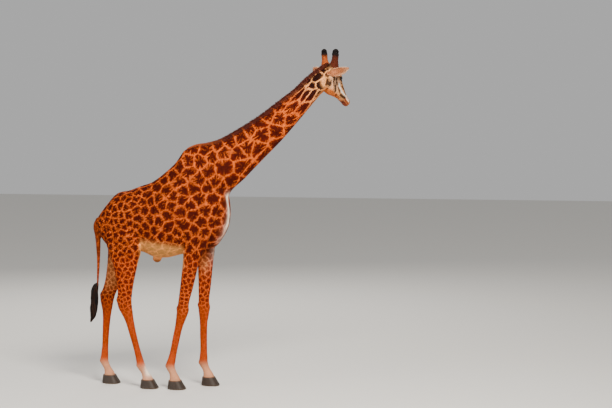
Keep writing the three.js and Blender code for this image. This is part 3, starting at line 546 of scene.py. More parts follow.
skull_rows = read_smoothly(SKULL, [row[0] for row in SKULL], 6)
skull_rings = [
    ring(
        np.array([along, 0, bottom + (top - bottom) * widest]), np.array([0, 1, 0]), np.array([0, 0, 1]),
        wide, (top - bottom) * (1 - widest), (top - bottom) * widest, square, square_low, 96,
    )
    for along, top, bottom, wide, widest, square, square_low in skull_rows
]
head_parts = [loft(skull_rings)] + [egg(place, halves) for place, halves in SKULL_LUMPS]
neck_end = [to_head(rings) for rings in trunk_rings(120, 8)[8 * 20:]]
head_parts.append(loft(neck_end))
head_points, head_quads = fused([(points * MM, faces) for points, faces in head_parts], HEAD_GRAIN)
head_points /= MM
head_pairs = neighbours(head_quads)
# The skull's forms run together, and the muzzle's stay apart.
soft = 0.12 + 0.38 * smooth_step(600, 360, head_points[:, 0])
head_points = settled(relaxed(head_points, head_pairs, 80, soft), head_pairs, 6)


FACE_FORMS = mirrored([
    ((206, 103, 30), (62, 60, 46), 15),  # the orbit stands out to the side
    ((200, 105, 70), (48, 24, 14), 7),  # brow over the eye
    ((212, 110, -12), (44, 20, 14), 5),  # cheekbone under the eye
    ((118, 104, -2), (76, 20, 13), 6),  # arch from the eye to the ear
    ((252, 86, -54), (74, 34, 24), -6),
    ((150, 86, -96), (82, 34, 66), 5),  # chewing muscle
    ((262, 66, -118), (26, 34, 60), -5),  # its front edge
    ((136, 98, 48), (34, 24, 24), -12),  # temple
    ((176, 84, 96), (24, 22, 22), -5),
    ((330, 74, 4), (76, 24, 24), -6),
    ((410, 26, 50), (120, 12, 20), -3),
    ((440, 62, -14), (80, 20, 22), -4),
    ((540, 48, -66), (60, 20, 16), 4),  # corner of the lips
    ((640, 38, -42), (44, 22, 20), 6),  # pad of the upper lip
    ((330, 52, -136), (120, 18, 16), 4),  # edge of the jaw
    ((300, 58, -70), (130, 14, 9), -3),
    ((600, 41, 8), (70, 20, 14), 3),
    ((10, 66, -96), (34, 36, 50), -7),  # hollow of the throat behind the jaw
]) + [
    ((420, 0, 62), (150, 16, 22), 4),  # bridge of the nose
    ((330, 0, -150), (150, 24, 26), -9),  # hollow between the jaws
    ((642, 0, -80), (34, 34, 18), 4),  # chin
    ((700, 0, -44), (14, 9, 18), -3),
]
NOSTRIL_PLACE, NOSTRIL_LONG, NOSTRIL_WIDE = (650, 45, -17), 23, 7.5
MOUTH_LEVEL, MOUTH_CORNER = -57, 520
head_normals = normals_of(head_points, head_quads)
head_forms = swollen(head_points, head_normals, FACE_FORMS)
along, out, rise = head_points.T
side_of_face = np.abs(out)

slant = np.array([0.86, -0.5])  # the nostril runs back and up
from_nostril = np.stack([along - NOSTRIL_PLACE[0], rise - NOSTRIL_PLACE[2]], 1)
nostril = np.hypot(
    (from_nostril[:, 0] * slant[0] + from_nostril[:, 1] * slant[1]) / NOSTRIL_LONG,
    (from_nostril[:, 1] * slant[0] - from_nostril[:, 0] * slant[1]) / NOSTRIL_WIDE,
)
on_side = smooth_step(22, 34, side_of_face)
nostril_depth = smooth_step(1.25, 0.45, nostril) * on_side
nostril_rim = np.exp(-(((nostril - 1.75) / 0.5) ** 2)) * on_side
from_lips = rise - (MOUTH_LEVEL + (along - 700) * 0.02)
in_mouth = smooth_step(MOUTH_CORNER - 8, MOUTH_CORNER + 26, along)
lips = in_mouth * (
    4.5 * np.exp(-(((from_lips - 12) / 8) ** 2))
    + 3.0 * np.exp(-(((from_lips + 11) / 7) ** 2))
    - 8.0 * np.exp(-((from_lips / 3.0) ** 2))
)
from_corner = ((along - 520) / 26) ** 2 + ((rise + 62) / 22) ** 2
wrinkle = 0.9 * np.sin(along / 9 * 2 * pi + rise / 14) * np.exp(-from_corner)
head_forms += head_normals * (lips + wrinkle - 16 * nostril_depth + 4 * nostril_rim)[:, None]
head_forms = settled(head_forms, head_pairs, 1) - normals_of(head_forms, head_quads) * (COAT_DEPTH * 0.7 / MM)

# The hide dips under each eyeball, so that the lids can stand round it.
EYE_AXES = {}
for way in (1, -1):
    outward = unit([0.14, way, 0.10])
    forward = unit(np.array([1, 0, -0.30]) - outward * np.dot([1, 0, -0.30], outward))
    EYE_AXES[way] = np.array([outward, forward, np.cross(outward, forward) * way])
    centre = np.array(EYE_PLACE) * [1, way, 1]
    away = head_forms - centre
    reach = np.linalg.norm(away, axis=1)
    angle = np.degrees(np.arccos(np.clip(away @ outward / np.maximum(reach, 1), -1, 1)))
    socket_edge = smooth_step(128, 92, angle) * (reach < 70)
    reach += np.maximum(EYE_RADIUS + 4 - reach, 0) * socket_edge
    reach += (EYE_RADIUS - 7 - reach) * smooth_step(72, 56, angle) * (reach < 60)
    head_forms = centre + unit(away) * reach[:, None]

HEAD_FACES = 84_000
head_points, head_faces = thinned(from_head(head_forms), head_quads, HEAD_FACES)


def cut_at_seam(points, faces, way):
    """The part of a surface on one side of the seam, and its rim's points in order round the neck."""
    work = bmesh.new()
    mesh = mesh_object("cut", points, faces)
    work.from_mesh(mesh.data)
    bpy.data.objects.remove(mesh)
    plane = SEAM + SEAM_WAY * 0.8 * way
    bmesh.ops.bisect_plane(
        work, geom=work.verts[:] + work.edges[:] + work.faces[:], plane_co=Vector(plane),
        plane_no=Vector(SEAM_WAY),
        clear_outer=way < 0, clear_inner=way > 0,
    )
    bmesh.ops.triangulate(work, faces=work.faces[:])
    work.verts.index_update()
    rim = np.array([v.index for v in work.verts if v.is_boundary])
    places = np.array([v.co[:] for v in work.verts])
    corners = np.array([[v.index for v in face.verts] for face in work.faces])
    work.free()
    across = unit(np.cross(SEAM_WAY, [0, 0, 1]))
    spoke = places[rim] - SEAM
    angle = np.arctan2(spoke @ np.cross(SEAM_WAY, across), spoke @ across)
    order = np.argsort(angle)
    return places, corners, rim[order], angle[order]


def sewn(first, second):
    """Two surfaces as one, joined rim to rim with a strip of triangles."""
    (points_a, faces_a, rim_a, angle_a), (points_b, faces_b, rim_b, angle_b) = first, second
    rim_b = rim_b + len(points_a)
    i = j = 0
    strip = []
    while i < len(rim_a) or j < len(rim_b):
        next_a = angle_a[i + 1] if i + 1 < len(rim_a) else pi + (i + 1 - len(rim_a))
        next_b = angle_b[j + 1] if j + 1 < len(rim_b) else pi + (j + 1 - len(rim_b))
        a, b = rim_a[i % len(rim_a)], rim_b[j % len(rim_b)]
        if j >= len(rim_b) or (i < len(rim_a) and next_a <= next_b):
            i += 1
            strip.append((a, b, rim_a[i % len(rim_a)]))
        else:
            j += 1
            strip.append((a, b, rim_b[j % len(rim_b)]))
    points = np.vstack([points_a, points_b])
    strip = np.array(strip)
    corner = points[strip]
    first, second, third = corner[:, 0], corner[:, 1], corner[:, 2]
    outward = np.einsum("ij,ij->i", np.cross(second - first, third - first), first - SEAM)
    if np.median(outward) < 0:
        strip = strip[:, ::-1]
    return points, np.vstack([faces_a, faces_b + len(points_a), strip])


hide_points, hide_faces = sewn(
    cut_at_seam(body_points, body_faces, -1), cut_at_seam(head_points, head_faces, 1)
)
from_seam = np.abs((hide_points - SEAM) @ SEAM_WAY) + 1e3 * (hide_points[:, 0] < 1700)
hide_points = relaxed(hide_points, neighbours(hide_faces), 30, 0.5 * smooth_step(60, 25, from_seam))

# ------------------------------------------------------------------ the skin: eyelids
# Each eye has a heavy upper lid with a fold, and a thin lower one. A lid is a closed ring round the
# eyeball, given by its angle from the middle of the eye and its height over the ball.
LID_OPEN = {"front": 66, "back": 58, "up": 37, "down": 32}  # half opening of the eye in degrees
LID_SKIRT = 88
LID_STEPS = 72  # points round each ring of a lid
UPPER_LID = [
    (0, -2.5), (0, 1.2), (0.03, 3.4), (0.12, 4.4), (0.26, 3.8), (0.36, 1.4), (0.5, 4.8), (0.74, 4.2),
    (1, -4), (1, -9), (0, -9),
]
LOWER_LID = [
    (0, -2.5), (0, 0.9), (0.04, 2.6), (0.14, 3.2), (0.26, 2.6), (0.38, 1.2), (0.54, 3.4), (0.76, 3.0),
    (1, -5), (1, -9), (0, -9),
]


def lid_ring(way, steps=LID_STEPS):
    outward, forward, upward = EYE_AXES[way]
    centre = np.array(EYE_PLACE) * [1, way, 1]
    round_eye = np.arange(steps) / steps * 2 * pi
    c, s = np.cos(round_eye), np.sin(round_eye)
    tall = np.where(s > 0, LID_OPEN["up"], LID_OPEN["down"])
    wide = np.where(c > 0, LID_OPEN["front"], LID_OPEN["back"])
    opening = ((np.abs(c) / wide) ** 1.8 + (np.abs(s) / tall) ** 1.8) ** (-1 / 1.8)
    spokes = c[:, None] * forward + s[:, None] * upward
    upper = smooth_step(-0.25, 0.25, s)
    rings = []
    for (share_up, height_up), (share_low, height_low) in zip(UPPER_LID, LOWER_LID):
        share = share_low + (share_up - share_low) * upper
        height = height_low + (height_up - height_low) * upper
        angle = np.radians(opening + (LID_SKIRT - opening) * share)[:, None]
        reach = (EYE_RADIUS + height)[:, None]
        rings.append(centre + reach * (np.cos(angle) * outward + np.sin(angle) * spokes))
    points = from_head(np.vstack(rings))
    count = len(rings)
    faces = []
    for i in range(count):
        for j in range(steps):
            k, n = (j + 1) % steps, (i + 1) % count
            faces.append((i * steps + j, i * steps + k, n * steps + k, n * steps + j))
    faces = np.array(faces)
    if way < 0:
        faces = faces[:, ::-1]
    return points, np.vstack([faces[:, [0, 1, 2]], faces[:, [0, 2, 3]]])


lid_start = len(hide_points)
for way in (1, -1):
    lid_points, lid_faces = lid_ring(way)
    hide_faces = np.vstack([hide_faces, lid_faces + len(hide_points)])
    hide_points = np.vstack([hide_points, lid_points])


# ------------------------------------------------------------------ the coat's markings
# Dark leaf-edged patches lie on an orange ground. Each patch grows round a seed set on the hide,
# and its border, notches and dark heart are worked out from the seeds nearest to it.
trunk_rows = np.array(TRUNK, float)
NECK_LINE = np.stack([
    (trunk_rows[:, 0] + trunk_rows[:, 2]) / 2, trunk_rows[:, 4], (trunk_rows[:, 1] + trunk_rows[:, 3]) / 2,
], 1)
TAIL_LINE = np.array([(x, 0, z) for x, z, *_ in TAIL[-2:0:-1]])
FACE_LINE = from_head(np.array([[70, 0, -20], [250, 0, -25], [450, 0, -25], [700, 0, -55]]))
BODY_LINE = np.vstack([TAIL_LINE, NECK_LINE[:22], FACE_LINE])
BODY_DISTANCE = distances(BODY_LINE)
NECK_START, NECK_END = BODY_DISTANCE[len(TAIL_LINE) + 15], BODY_DISTANCE[len(TAIL_LINE) + 21]


def colour(red, green, blue):
    """A colour as it is seen, from 0 to 255, in the shader's own linear values."""
    value = np.array([red, green, blue]) / 255
    return np.where(value < 0.04045, value / 12.92, ((value + 0.055) / 1.055) ** 2.4)


GROUND, GROUND_LEG, GROUND_CREAM = colour(216, 96, 22), colour(168, 58, 8), colour(242, 170, 106)
GROUND_BELLY, GROUND_WHITE = colour(255, 176, 92), colour(255, 242, 224)
GROUND_INNER, GROUND_FOOT, TAIL_BROWN = colour(222, 138, 76), colour(206, 148, 112), colour(150, 66, 26)
PATCH, PATCH_DARK, PATCH_LEG = colour(97, 20, 1), colour(32, 9, 4), colour(112, 26, 2)
CHEEK, JAW, MUZZLE = colour(232, 184, 148), colour(206, 104, 34), colour(176, 88, 40)
DARK_SKIN, LIP, POLL_BROWN = colour(38, 22, 18), colour(104, 42, 34), colour(54, 19, 10)


def along_line(points, line):
    """Distance along a line of the place nearest to each point, the line's direction, and that place."""
    start, step = line[:-1], np.diff(line, axis=0)
    size = np.linalg.norm(step, axis=1)
    run = np.concatenate([[0], np.cumsum(size)])
    found, ways, feet = np.empty(len(points)), np.empty((len(points), 3)), np.empty((len(points), 3))
    for begin in range(0, len(points), 20000):
        some = points[begin : begin + 20000]
        away = some[:, None] - start
        share = np.clip((away * step).sum(2) / size**2, 0, 1)
        gap = np.linalg.norm(away - share[..., None] * step, axis=2)
        best = gap.argmin(1)
        pick = np.arange(len(some))
        found[begin : begin + len(some)] = run[best] + share[pick, best] * size[best]
        ways[begin : begin + len(some)] = step[best] / size[best, None]
        feet[begin : begin + len(some)] = (start[best] + share[pick, best, None] * step[best])
    return found, ways, feet


def blend(*steps):
    """The first value, then each later one laid over it by its share."""
    value = steps[0]
    for later, share in steps[1:]:
        share = np.reshape(share, (-1, 1)) if np.ndim(later) else share
        value = value * (1 - share) + np.asarray(later) * share
    return value


def stamp(points, place, halves, hard=2.0):
    """How much of a soft-edged spot, given by its place and half sizes, lies on each point."""
    q = (((points - np.array(place)) / np.array(halves)) ** 2).sum(1)
    return 1 / (1 + q**hard)


def stripe(points, line, half, hard=3.0):
    """How much of a soft-edged stripe along a line lies on each point."""
    _, _, foot = along_line(points, np.asarray(line, float))
    return 1 / (1 + (np.linalg.norm(points - foot, axis=1) / half) ** (2 * hard))


CREST_NEAR_HEAD = [
    (1720, 56, 3709), (1876, 84, 3867), (1980, 112, 3966), (2062, 135, 4030), (2090, 145, 4075),
]
WHITE_STRIPE = [
    (236, 94, -22), (262, 88, -32), (317, 82, -42), (373, 76, -50), (442, 68, -40), (543, 56, -22),
    (634, 44, -26),
]
DARK_STREAKS = [  # places along each streak in the head's axes, and its half width
    ([(15, 58, -101), (24, 56, -132), (32, 54, -158)], 8), ([(76, 100, 0), (84, 97, -22), (108, 91, -63)], 8),
    ([(108, 91, -63), (146, 90, -106)], 6.5), ([(136, 100, -10), (167, 93, -62), (190, 89, -80)], 7.5),
    ([(178, 88, -104), (215, 78, -116), (254, 62, -122)], 9.5), ([(184, 95, -38), (226, 90, -50)], 5.5),
    ([(268, 80, -62), (344, 74, -78)], 6.5), ([(396, 64, -82), (460, 58, -68), (524, 55, -48)], 8),
    ([(332, 84, 2), (400, 72, 6), (453, 63, 8), (516, 54, 0)], 6.5),
    ([(300, 80, 56), (360, 74, 50), (430, 64, 42)], 6),
]
DARK_SPOTS = [
    ((70, 72, -130), (35, 38, 36)), ((106, 31, -178), (16, 22, 17)), ((319, 48, -132), (22, 30, 11)),
    ((292, 90, 18), (18, 30, 8)), ((56, 84, -88), (9, 20, 9)), ((-10, 8, 84), (26, 30, 26)),
    ((-30, 8, 6), (16, 30, 16)),
]


def painted_face(head, on_head, ground, show):
    """The face's own colours, laid over the coat at points in the head's axes."""
    face = np.stack([head[:, 0], np.abs(head[:, 1]), head[:, 2]], 1)
    uneven = 1 + 0.42 * np.sin(face @ [0.21, 0.0, 0.33]) * np.sin(face @ [-0.13, 0.05, 0.19] + 1)
    flat = [1, 0.4, 1]  # the paint follows the side of the face, however far out it lies
    streaks = sum(
        stripe(face * flat, np.array(line) * flat, 2.15 * half * uneven) for line, half in DARK_STREAKS
    )
    streaks += sum(stamp(face, place, halves, 4) for place, halves in DARK_SPOTS)
    brown = colour(158, 88, 50)
    under = -face[:, 2] - np.interp(face[:, 0], [0, 120, 220, 330, 435, 560], [188, 168, 148, 118, 98, 80])
    layers = [
        (CHEEK, 0.85 * stamp(face, (140, 90, -40), (150, 60, 90))),
        (brown, 0.72 * stamp(face, (330, 0, 84), (210, 52, 44))),
        (JAW, 0.95 * smooth_step(-12, 12, under) * smooth_step(-20, 60, face[:, 0])),
        (MUZZLE, 0.85 * stamp(face, (640, 0, -62), (110, 90, 52), 3)),
        (GROUND_WHITE, 0.97 * stripe(face * flat, np.array(WHITE_STRIPE) * flat, 13.5 * uneven**0.5, 4)),
        (colour(220, 120, 100), 0.6 * stamp(face, (556, 56, -46), (22, 30, 12), 3)),
        (DARK_SKIN, 0.9 * stamp(face, (208, 109, 32), (34, 40, 22), 3)),
        (DARK_SKIN, 0.9 * stamp(face, (650, 44, -17), (24, 20, 12), 3)),
        (LIP, 0.85 * stamp(face, (618, 20, -80), (78, 56, 11), 3)),
        (LIP, 0.9 * np.exp(-(((face[:, 2] - MOUTH_LEVEL) / 4) ** 2)) * smooth_step(512, 540, face[:, 0])),
    ]
    for tint, share in layers:
        ground = blend(ground, (tint, share * on_head))
    poll = stamp(face, (68, 34, 108), (108, 96, 70), 5)
    ground = blend(ground, (POLL_BROWN, 0.95 * poll), (PATCH_DARK, np.clip(streaks, 0, 1) * 0.94))
    return ground, show * (1 - on_head * smooth_step(-62, -22, face[:, 0] + 0.3 * face[:, 2]))


def markings(points):
    """Colours and measures of the coat at points given in millimetres from the floor point."""
    x, y, z = points.T
    s, way, foot = along_line(points, BODY_LINE)
    neck = np.clip((s - NECK_START) / (NECK_END - NECK_START), 0, 1.2)
    on_neck = smooth_step(-0.08, 0.05, (s - NECK_START) / (NECK_END - NECK_START))
    head = to_head(points)
    # the head's own front part, clear of the neck
    on_head = smooth_step(-30, 40, head[:, 0] + 0.25 * head[:, 2]) * (np.abs(head[:, 1]) < 190) * (z > 3300)
    on_leg = smooth_step(1760, 1560, z) * (s < NECK_START)
    low_leg = smooth_step(1130, 820, z) * (s < NECK_START)
    pastern = smooth_step(345, 235, z)

    size = np.interp(x, [-800, -420, -150, 150, 600, 900], [78, 84, 108, 136, 146, 150])
    size = size * (1 - on_leg) + on_leg * np.interp(z, [300, 900, 1250, 1560], [46, 56, 70, 80])
    size = np.where(z < 2150, size * np.interp(z, [1600, 2150], [0.72, 1.0]), size)
    neck_size = np.interp(neck, [0, 0.25, 0.6, 0.78, 0.9, 1.1], [148, 160, 140, 104, 78, 66])
    size = size * (1 - on_neck) + on_neck * neck_size
    size = size * (1 - on_head) + on_head * 90

    half_line = 1.0 + 0.019 * size + 2.4 * on_neck + 1.2 * on_neck * smooth_step(0.7, 1.0, neck)
    half_line = half_line * (1 - on_head) + on_head * 7

    belly_top = np.interp(x, [-330, -150, 150, 420], [1900, 1885, 1845, 1800])
    belly_start = np.interp(np.abs(y), [60, 190], [-420, -205])
    belly = smooth_step(40, -70, z - belly_top) * smooth_step(-40, 25, x - belly_start)
    belly = belly * smooth_step(390, 320, x) * smooth_step(1480, 1560, z)
    on_tail = smooth_step(-720, -760, x) * smooth_step(60, 50, np.abs(y)) * smooth_step(1150, 1200, z)
    inside = on_leg * smooth_step(150, 105, np.abs(y)) * (1 - on_tail)
    inside *= np.where(x < 100, smooth_step(1050, 1350, z), smooth_step(1330, 1560, z))
    show = 1 - 0.6 * low_leg - 0.6 * belly - 0.32 * inside - 0.3 * on_tail
    show *= 1 - smooth_step(520, 280, z)
    breast = np.exp(-(((y + 48) / 56) ** 2)) * (0.55 + 0.45 * smooth_step(1930, 2080, z))
    breast = breast * smooth_step(690, 790, x) * smooth_step(1760, 1900, z)
    breast += 0.8 * stamp(points, (690, 110, 1690), (56, 90, 150), 2)
    breast = np.clip(breast, 0, 1) * smooth_step(2540, 2400, z)
    show = np.clip(show, 0, 1) * (1 - breast)

    cream_neck = on_neck * smooth_step(0.76, 1.04, neck)
    ground = blend(
        GROUND, (GROUND_LEG, on_leg * 0.35 + low_leg * 0.5), (GROUND_BELLY, belly), (GROUND_INNER, inside),
        (GROUND_CREAM, 0.9 * cream_neck), (GROUND_WHITE, breast), (GROUND_CREAM, on_head),
        (TAIL_BROWN, 0.75 * on_tail), (GROUND_FOOT, 0.85 * pastern),
        (GROUND_WHITE, 0.85 * stamp(points, (-118, -150, 230), (48, 60, 110), 3)),
        (PATCH_DARK, 0.7 * stamp(points, (-34, 0, 1588), (46, 40, 34), 3)),
    )
    patch = blend(
        PATCH, (PATCH_DARK, np.clip(0.22 * (1 - on_leg) + 0.7 * cream_neck, 0, 1)),
        (PATCH_LEG, on_leg * 0.75), (PATCH_DARK, on_head),
    )
    by_crest = smooth_step(0.84, 0.92, neck) * stripe(points, CREST_NEAR_HEAD, 42, 5)
    by_crest = by_crest * smooth_step(-0.95, -0.55, np.sin(s / 15))
    ground = blend(ground, (PATCH_DARK, 0.95 * by_crest))
    show = show * (1 - 0.95 * stamp(points, (2082, 28, 3846), (40, 80, 66), 4))  # plain behind the cheek
    ground, show = painted_face(head, on_head, ground, show)
    return {"size": size, "half_line": half_line, "show": show, "ground": ground, "patch": patch, "s": s,
            "way": way, "foot": foot, "neck": neck, "head": head, "on_head": on_head, "on_neck": on_neck,
            "on_leg": on_leg, "notched": 1 - 0.75 * on_neck * smooth_step(0.7, 0.9, neck)}


WAVES = np.random.default_rng(7)
WAVE_WAYS = unit(WAVES.normal(size=(3, 14, 3))) * (2 * pi / WAVES.uniform(90, 330, (3, 14, 1)))
WAVE_STARTS = WAVES.uniform(0, 2 * pi, (3, 14))
STRETCH = 0.6  # how much longer than wide the patches are at the top of the neck


marks = markings(hide_points)
hide_pairs = neighbours(hide_faces)
# Each point's place in the pattern: warped a little, and drawn together along the upper neck.
wave = np.stack([np.sin(hide_points @ WAVE_WAYS[k].T + WAVE_STARTS[k]).sum(1) for k in range(3)], 1)
stretch_start = NECK_START + 0.7 * (NECK_END - NECK_START)
over = np.clip(marks["s"] - stretch_start, 0, NECK_END + 150 - stretch_start) * marks["on_neck"]
shift = wave * (0.026 * marks["size"])[:, None] - marks["way"] * (STRETCH * over)[:, None]
places = hide_points + relaxed(shift, hide_pairs, 40)
lids = np.arange(len(hide_points)) >= lid_start
seed_draw = np.random.default_rng(21)
SEED_CANDIDATES, SEED_SPACING = 26_000, 0.82
FRAME_WIDTH, FRAME_HEIGHT = 612, 408  # the camera's frame in pixels
NECK_PATCHES = [  # where the camera sees patches on the neck and by the poll, in pixels across and down
    (291.7, 106.1), (303.2, 107.9), (281.1, 105.4), (268.5, 115.3), (279.4, 118.8), (291.3, 120.2),
    (260.1, 123.7), (249.9, 128.9), (261.1, 133.5), (276.6, 133.5), (240.8, 137.7), (228.9, 141.2),
    (219.0, 146.1), (223.9, 151.1), (238.7, 153.2), (246.4, 147.2), (259.0, 148.9), (264.3, 154.6),
    (211.3, 155.3), (222.5, 167.2), (242.9, 166.5), (231.3, 181.9), (249.2, 170.0), (278.7, 141.9),
    (207.8, 170.7), (221.5, 188.2), (214.8, 183.3), (208.5, 187.5), (208.5, 150.4), (286.2, 100.7),
    (292.4, 94.3), (309.2, 80.0), (312.4, 84.9), (317.8, 76.4), (320.1, 85.4), (305.3, 94.6),
    (311.2, 95.9), (322.0, 93.0), (314.5, 101.5), (317.0, 70.6), (300.3, 88.7), (298.2, 95.1),
]
sight_ahead = np.array(view_axis)
sight_right = unit(np.cross(sight_ahead, [0, 0, 1]))
sight_up = np.cross(sight_right, sight_ahead)
sight_start = (VIEW_AIM - sight_ahead * VIEW_DISTANCE) / MM
PIXEL_SLOPE = tan(radians(VIEW_WIDTH) / 2) / (FRAME_WIDTH / 2)
hide_surface = BVHTree.FromPolygons(hide_points.tolist(), hide_faces.tolist())


def in_sight(across, below):
    """The hide point that the camera sees at a pixel, or the one nearest to that line of sight."""
    level, rise = PIXEL_SLOPE * (across - FRAME_WIDTH / 2), PIXEL_SLOPE * (FRAME_HEIGHT / 2 - below)
    sight = unit(sight_ahead + level * sight_right + rise * sight_up)
    seen = hide_surface.ray_cast(Vector(sight_start), Vector(sight))[0]
    apart = hide_points[:lid_start] - (sight_start if seen is None else np.array(seen))
    if seen is None:
        apart = apart - np.outer(apart @ sight, sight)
    return np.linalg.norm(apart, axis=1).argmin()


seeds, seed_reach = np.empty((0, 3)), np.empty(0)
for across, below in NECK_PATCHES:
    i = in_sight(across, below)
    seeds, seed_reach = np.vstack([seeds, places[i]]), np.append(seed_reach, marks["size"][i] * 1.08)
for i in seed_draw.permutation(lid_start)[:SEED_CANDIDATES]:
    reach = marks["size"][i] * SEED_SPACING
    if len(seeds) and (np.linalg.norm(seeds - places[i], axis=1) < (seed_reach + reach) / 2).any():
        continue
    seeds, seed_reach = np.vstack([seeds, places[i]]), np.append(seed_reach, reach)
seed_tree = KDTree(len(seeds))
for i, seed in enumerate(seeds):
    seed_tree.insert(seed, i)
seed_tree.balance()
NEAREST = 4  # seeds that can border a patch at one place


def nearest_seeds(places):
    found = [[near[1] for near in seed_tree.find_n(place, NEAREST)] for place in places]
    return seeds[np.array(found)]


def store(mesh, name, kind, domain, values):
    layer = mesh.attributes.new(name, kind, domain)
    layer.data.foreach_set("value" if kind == "FLOAT" else "vector", np.asarray(values, np.float32).ravel())


def carry_markings(mesh, marks, places, bordering, domain):
    """Stores what the coat's material reads: places in metres, colours, line width and strength."""
    store(mesh, "pattern_place", "FLOAT_VECTOR", "POINT", places * MM)
    store(mesh, "ground", "FLOAT_VECTOR", "POINT", marks["ground"])
    store(mesh, "patch", "FLOAT_VECTOR", "POINT", marks["patch"])
    store(mesh, "half_line", "FLOAT", "POINT", marks["half_line"] * MM)
    store(mesh, "show", "FLOAT", "POINT", marks["show"])
    store(mesh, "notched", "FLOAT", "POINT", marks["notched"])
    for k in range(NEAREST):
        store(mesh, f"seed_{k}", "FLOAT_VECTOR", domain, bordering[:, k] * MM)


def to_model(points):
    return points * MM + FLOOR_POINT


# The lids' margins are bare dark skin, and no patch grows on them.
lid_rings = np.tile(np.repeat(np.arange(len(UPPER_LID)), LID_STEPS), 2)
lid_tint = DARK_SKIN * np.ones((lids.sum(), 1))
marks["ground"][lids] = blend(marks["ground"][lids], (lid_tint, np.interp(lid_rings, [3, 8], [0.9, 0.2])))
marks["show"][lids] = 0
skin = mesh_object("skin", to_model(hide_points), hide_faces)
carry_markings(skin.data, marks, places, nearest_seeds(places[hide_faces].mean(1)), "FACE")


def link(tree, value, socket):
    """Sets a socket from another socket, a number or a colour."""
    if isinstance(value, bpy.types.NodeSocket):
        tree.links.new(value, socket)
    elif value is not None:
        socket.default_value = value


def maths(tree, operation, a, b=None, c=None, clamp=False):
    node = tree.nodes.new("ShaderNodeMath")
    node.operation = operation
    node.use_clamp = clamp
    for value, socket in zip((a, b, c), node.inputs):
        link(tree, value, socket)
    return node.outputs[0]


def vectors(tree, operation, a, b=None):
    node = tree.nodes.new("ShaderNodeVectorMath")
    node.operation = operation
    for value, socket in zip((a, b), node.inputs):
        link(tree, value, socket)
    return node.outputs["Value" if operation in ("DOT_PRODUCT", "LENGTH") else "Vector"]


def scaled(tree, vector, factor):
    node = tree.nodes.new("ShaderNodeVectorMath")
    node.operation = "SCALE"
    link(tree, vector, node.inputs[0])
    link(tree, factor, node.inputs["Scale"])
    return node.outputs[0]


def attribute(tree, name, output="Vector"):
    node = tree.nodes.new("ShaderNodeAttribute")
    node.attribute_name = name
    return node.outputs[output]


def object_place(tree):
    return tree.nodes.new("ShaderNodeTexCoord").outputs["Object"]


def grain(tree, place, scale, detail=2.0, roughness=0.5):
    """Noise from 0 to 1 with so many swells to the metre."""
    node = tree.nodes.new("ShaderNodeTexNoise")
    link(tree, place, node.inputs["Vector"])
    node.inputs["Scale"].default_value = scale
    node.inputs["Detail"].default_value = detail
    node.inputs["Roughness"].default_value = roughness
    return node.outputs["Fac"]


def ramp(tree, value, low, high, from_value=0.0, to_value=1.0):
    """A smooth change from one value to another while the input goes from low to high."""
    node = tree.nodes.new("ShaderNodeMapRange")
    node.interpolation_type = "SMOOTHSTEP"
    for socket, given in zip(node.inputs, (value, low, high, from_value, to_value)):
        link(tree, given, socket)
    return node.outputs[0]


def mixed(tree, share, first, second, how="MIX"):
    node = tree.nodes.new("ShaderNodeMix")
    node.data_type = "RGBA"
    node.blend_type = how
    link(tree, share, node.inputs["Factor"])
    for value, socket in ((first, node.inputs[6]), (second, node.inputs[7])):
        link(tree, (*value, 1) if isinstance(value, (tuple, np.ndarray)) else value, socket)
    return node.outputs[2]


def new_material(name, roughness, specular=0.35, sheen=0.0):
    material = bpy.data.materials.new(name)
    material.use_nodes = True
    shader = material.node_tree.nodes["Principled BSDF"]
    shader.inputs["Roughness"].default_value = roughness
    shader.inputs["Specular IOR Level"].default_value = specular
    shader.inputs["Sheen Weight"].default_value = sheen
    shader.inputs["Sheen Roughness"].default_value = 0.4
    return material, material.node_tree, shader


def bumped(tree, shader, height, distance, strength=1.0):
    bump = tree.nodes.new("ShaderNodeBump")
    bump.inputs["Strength"].default_value = strength
    bump.inputs["Distance"].default_value = distance
    link(tree, height, bump.inputs["Height"])
    tree.links.new(bump.outputs["Normal"], shader.inputs["Normal"])


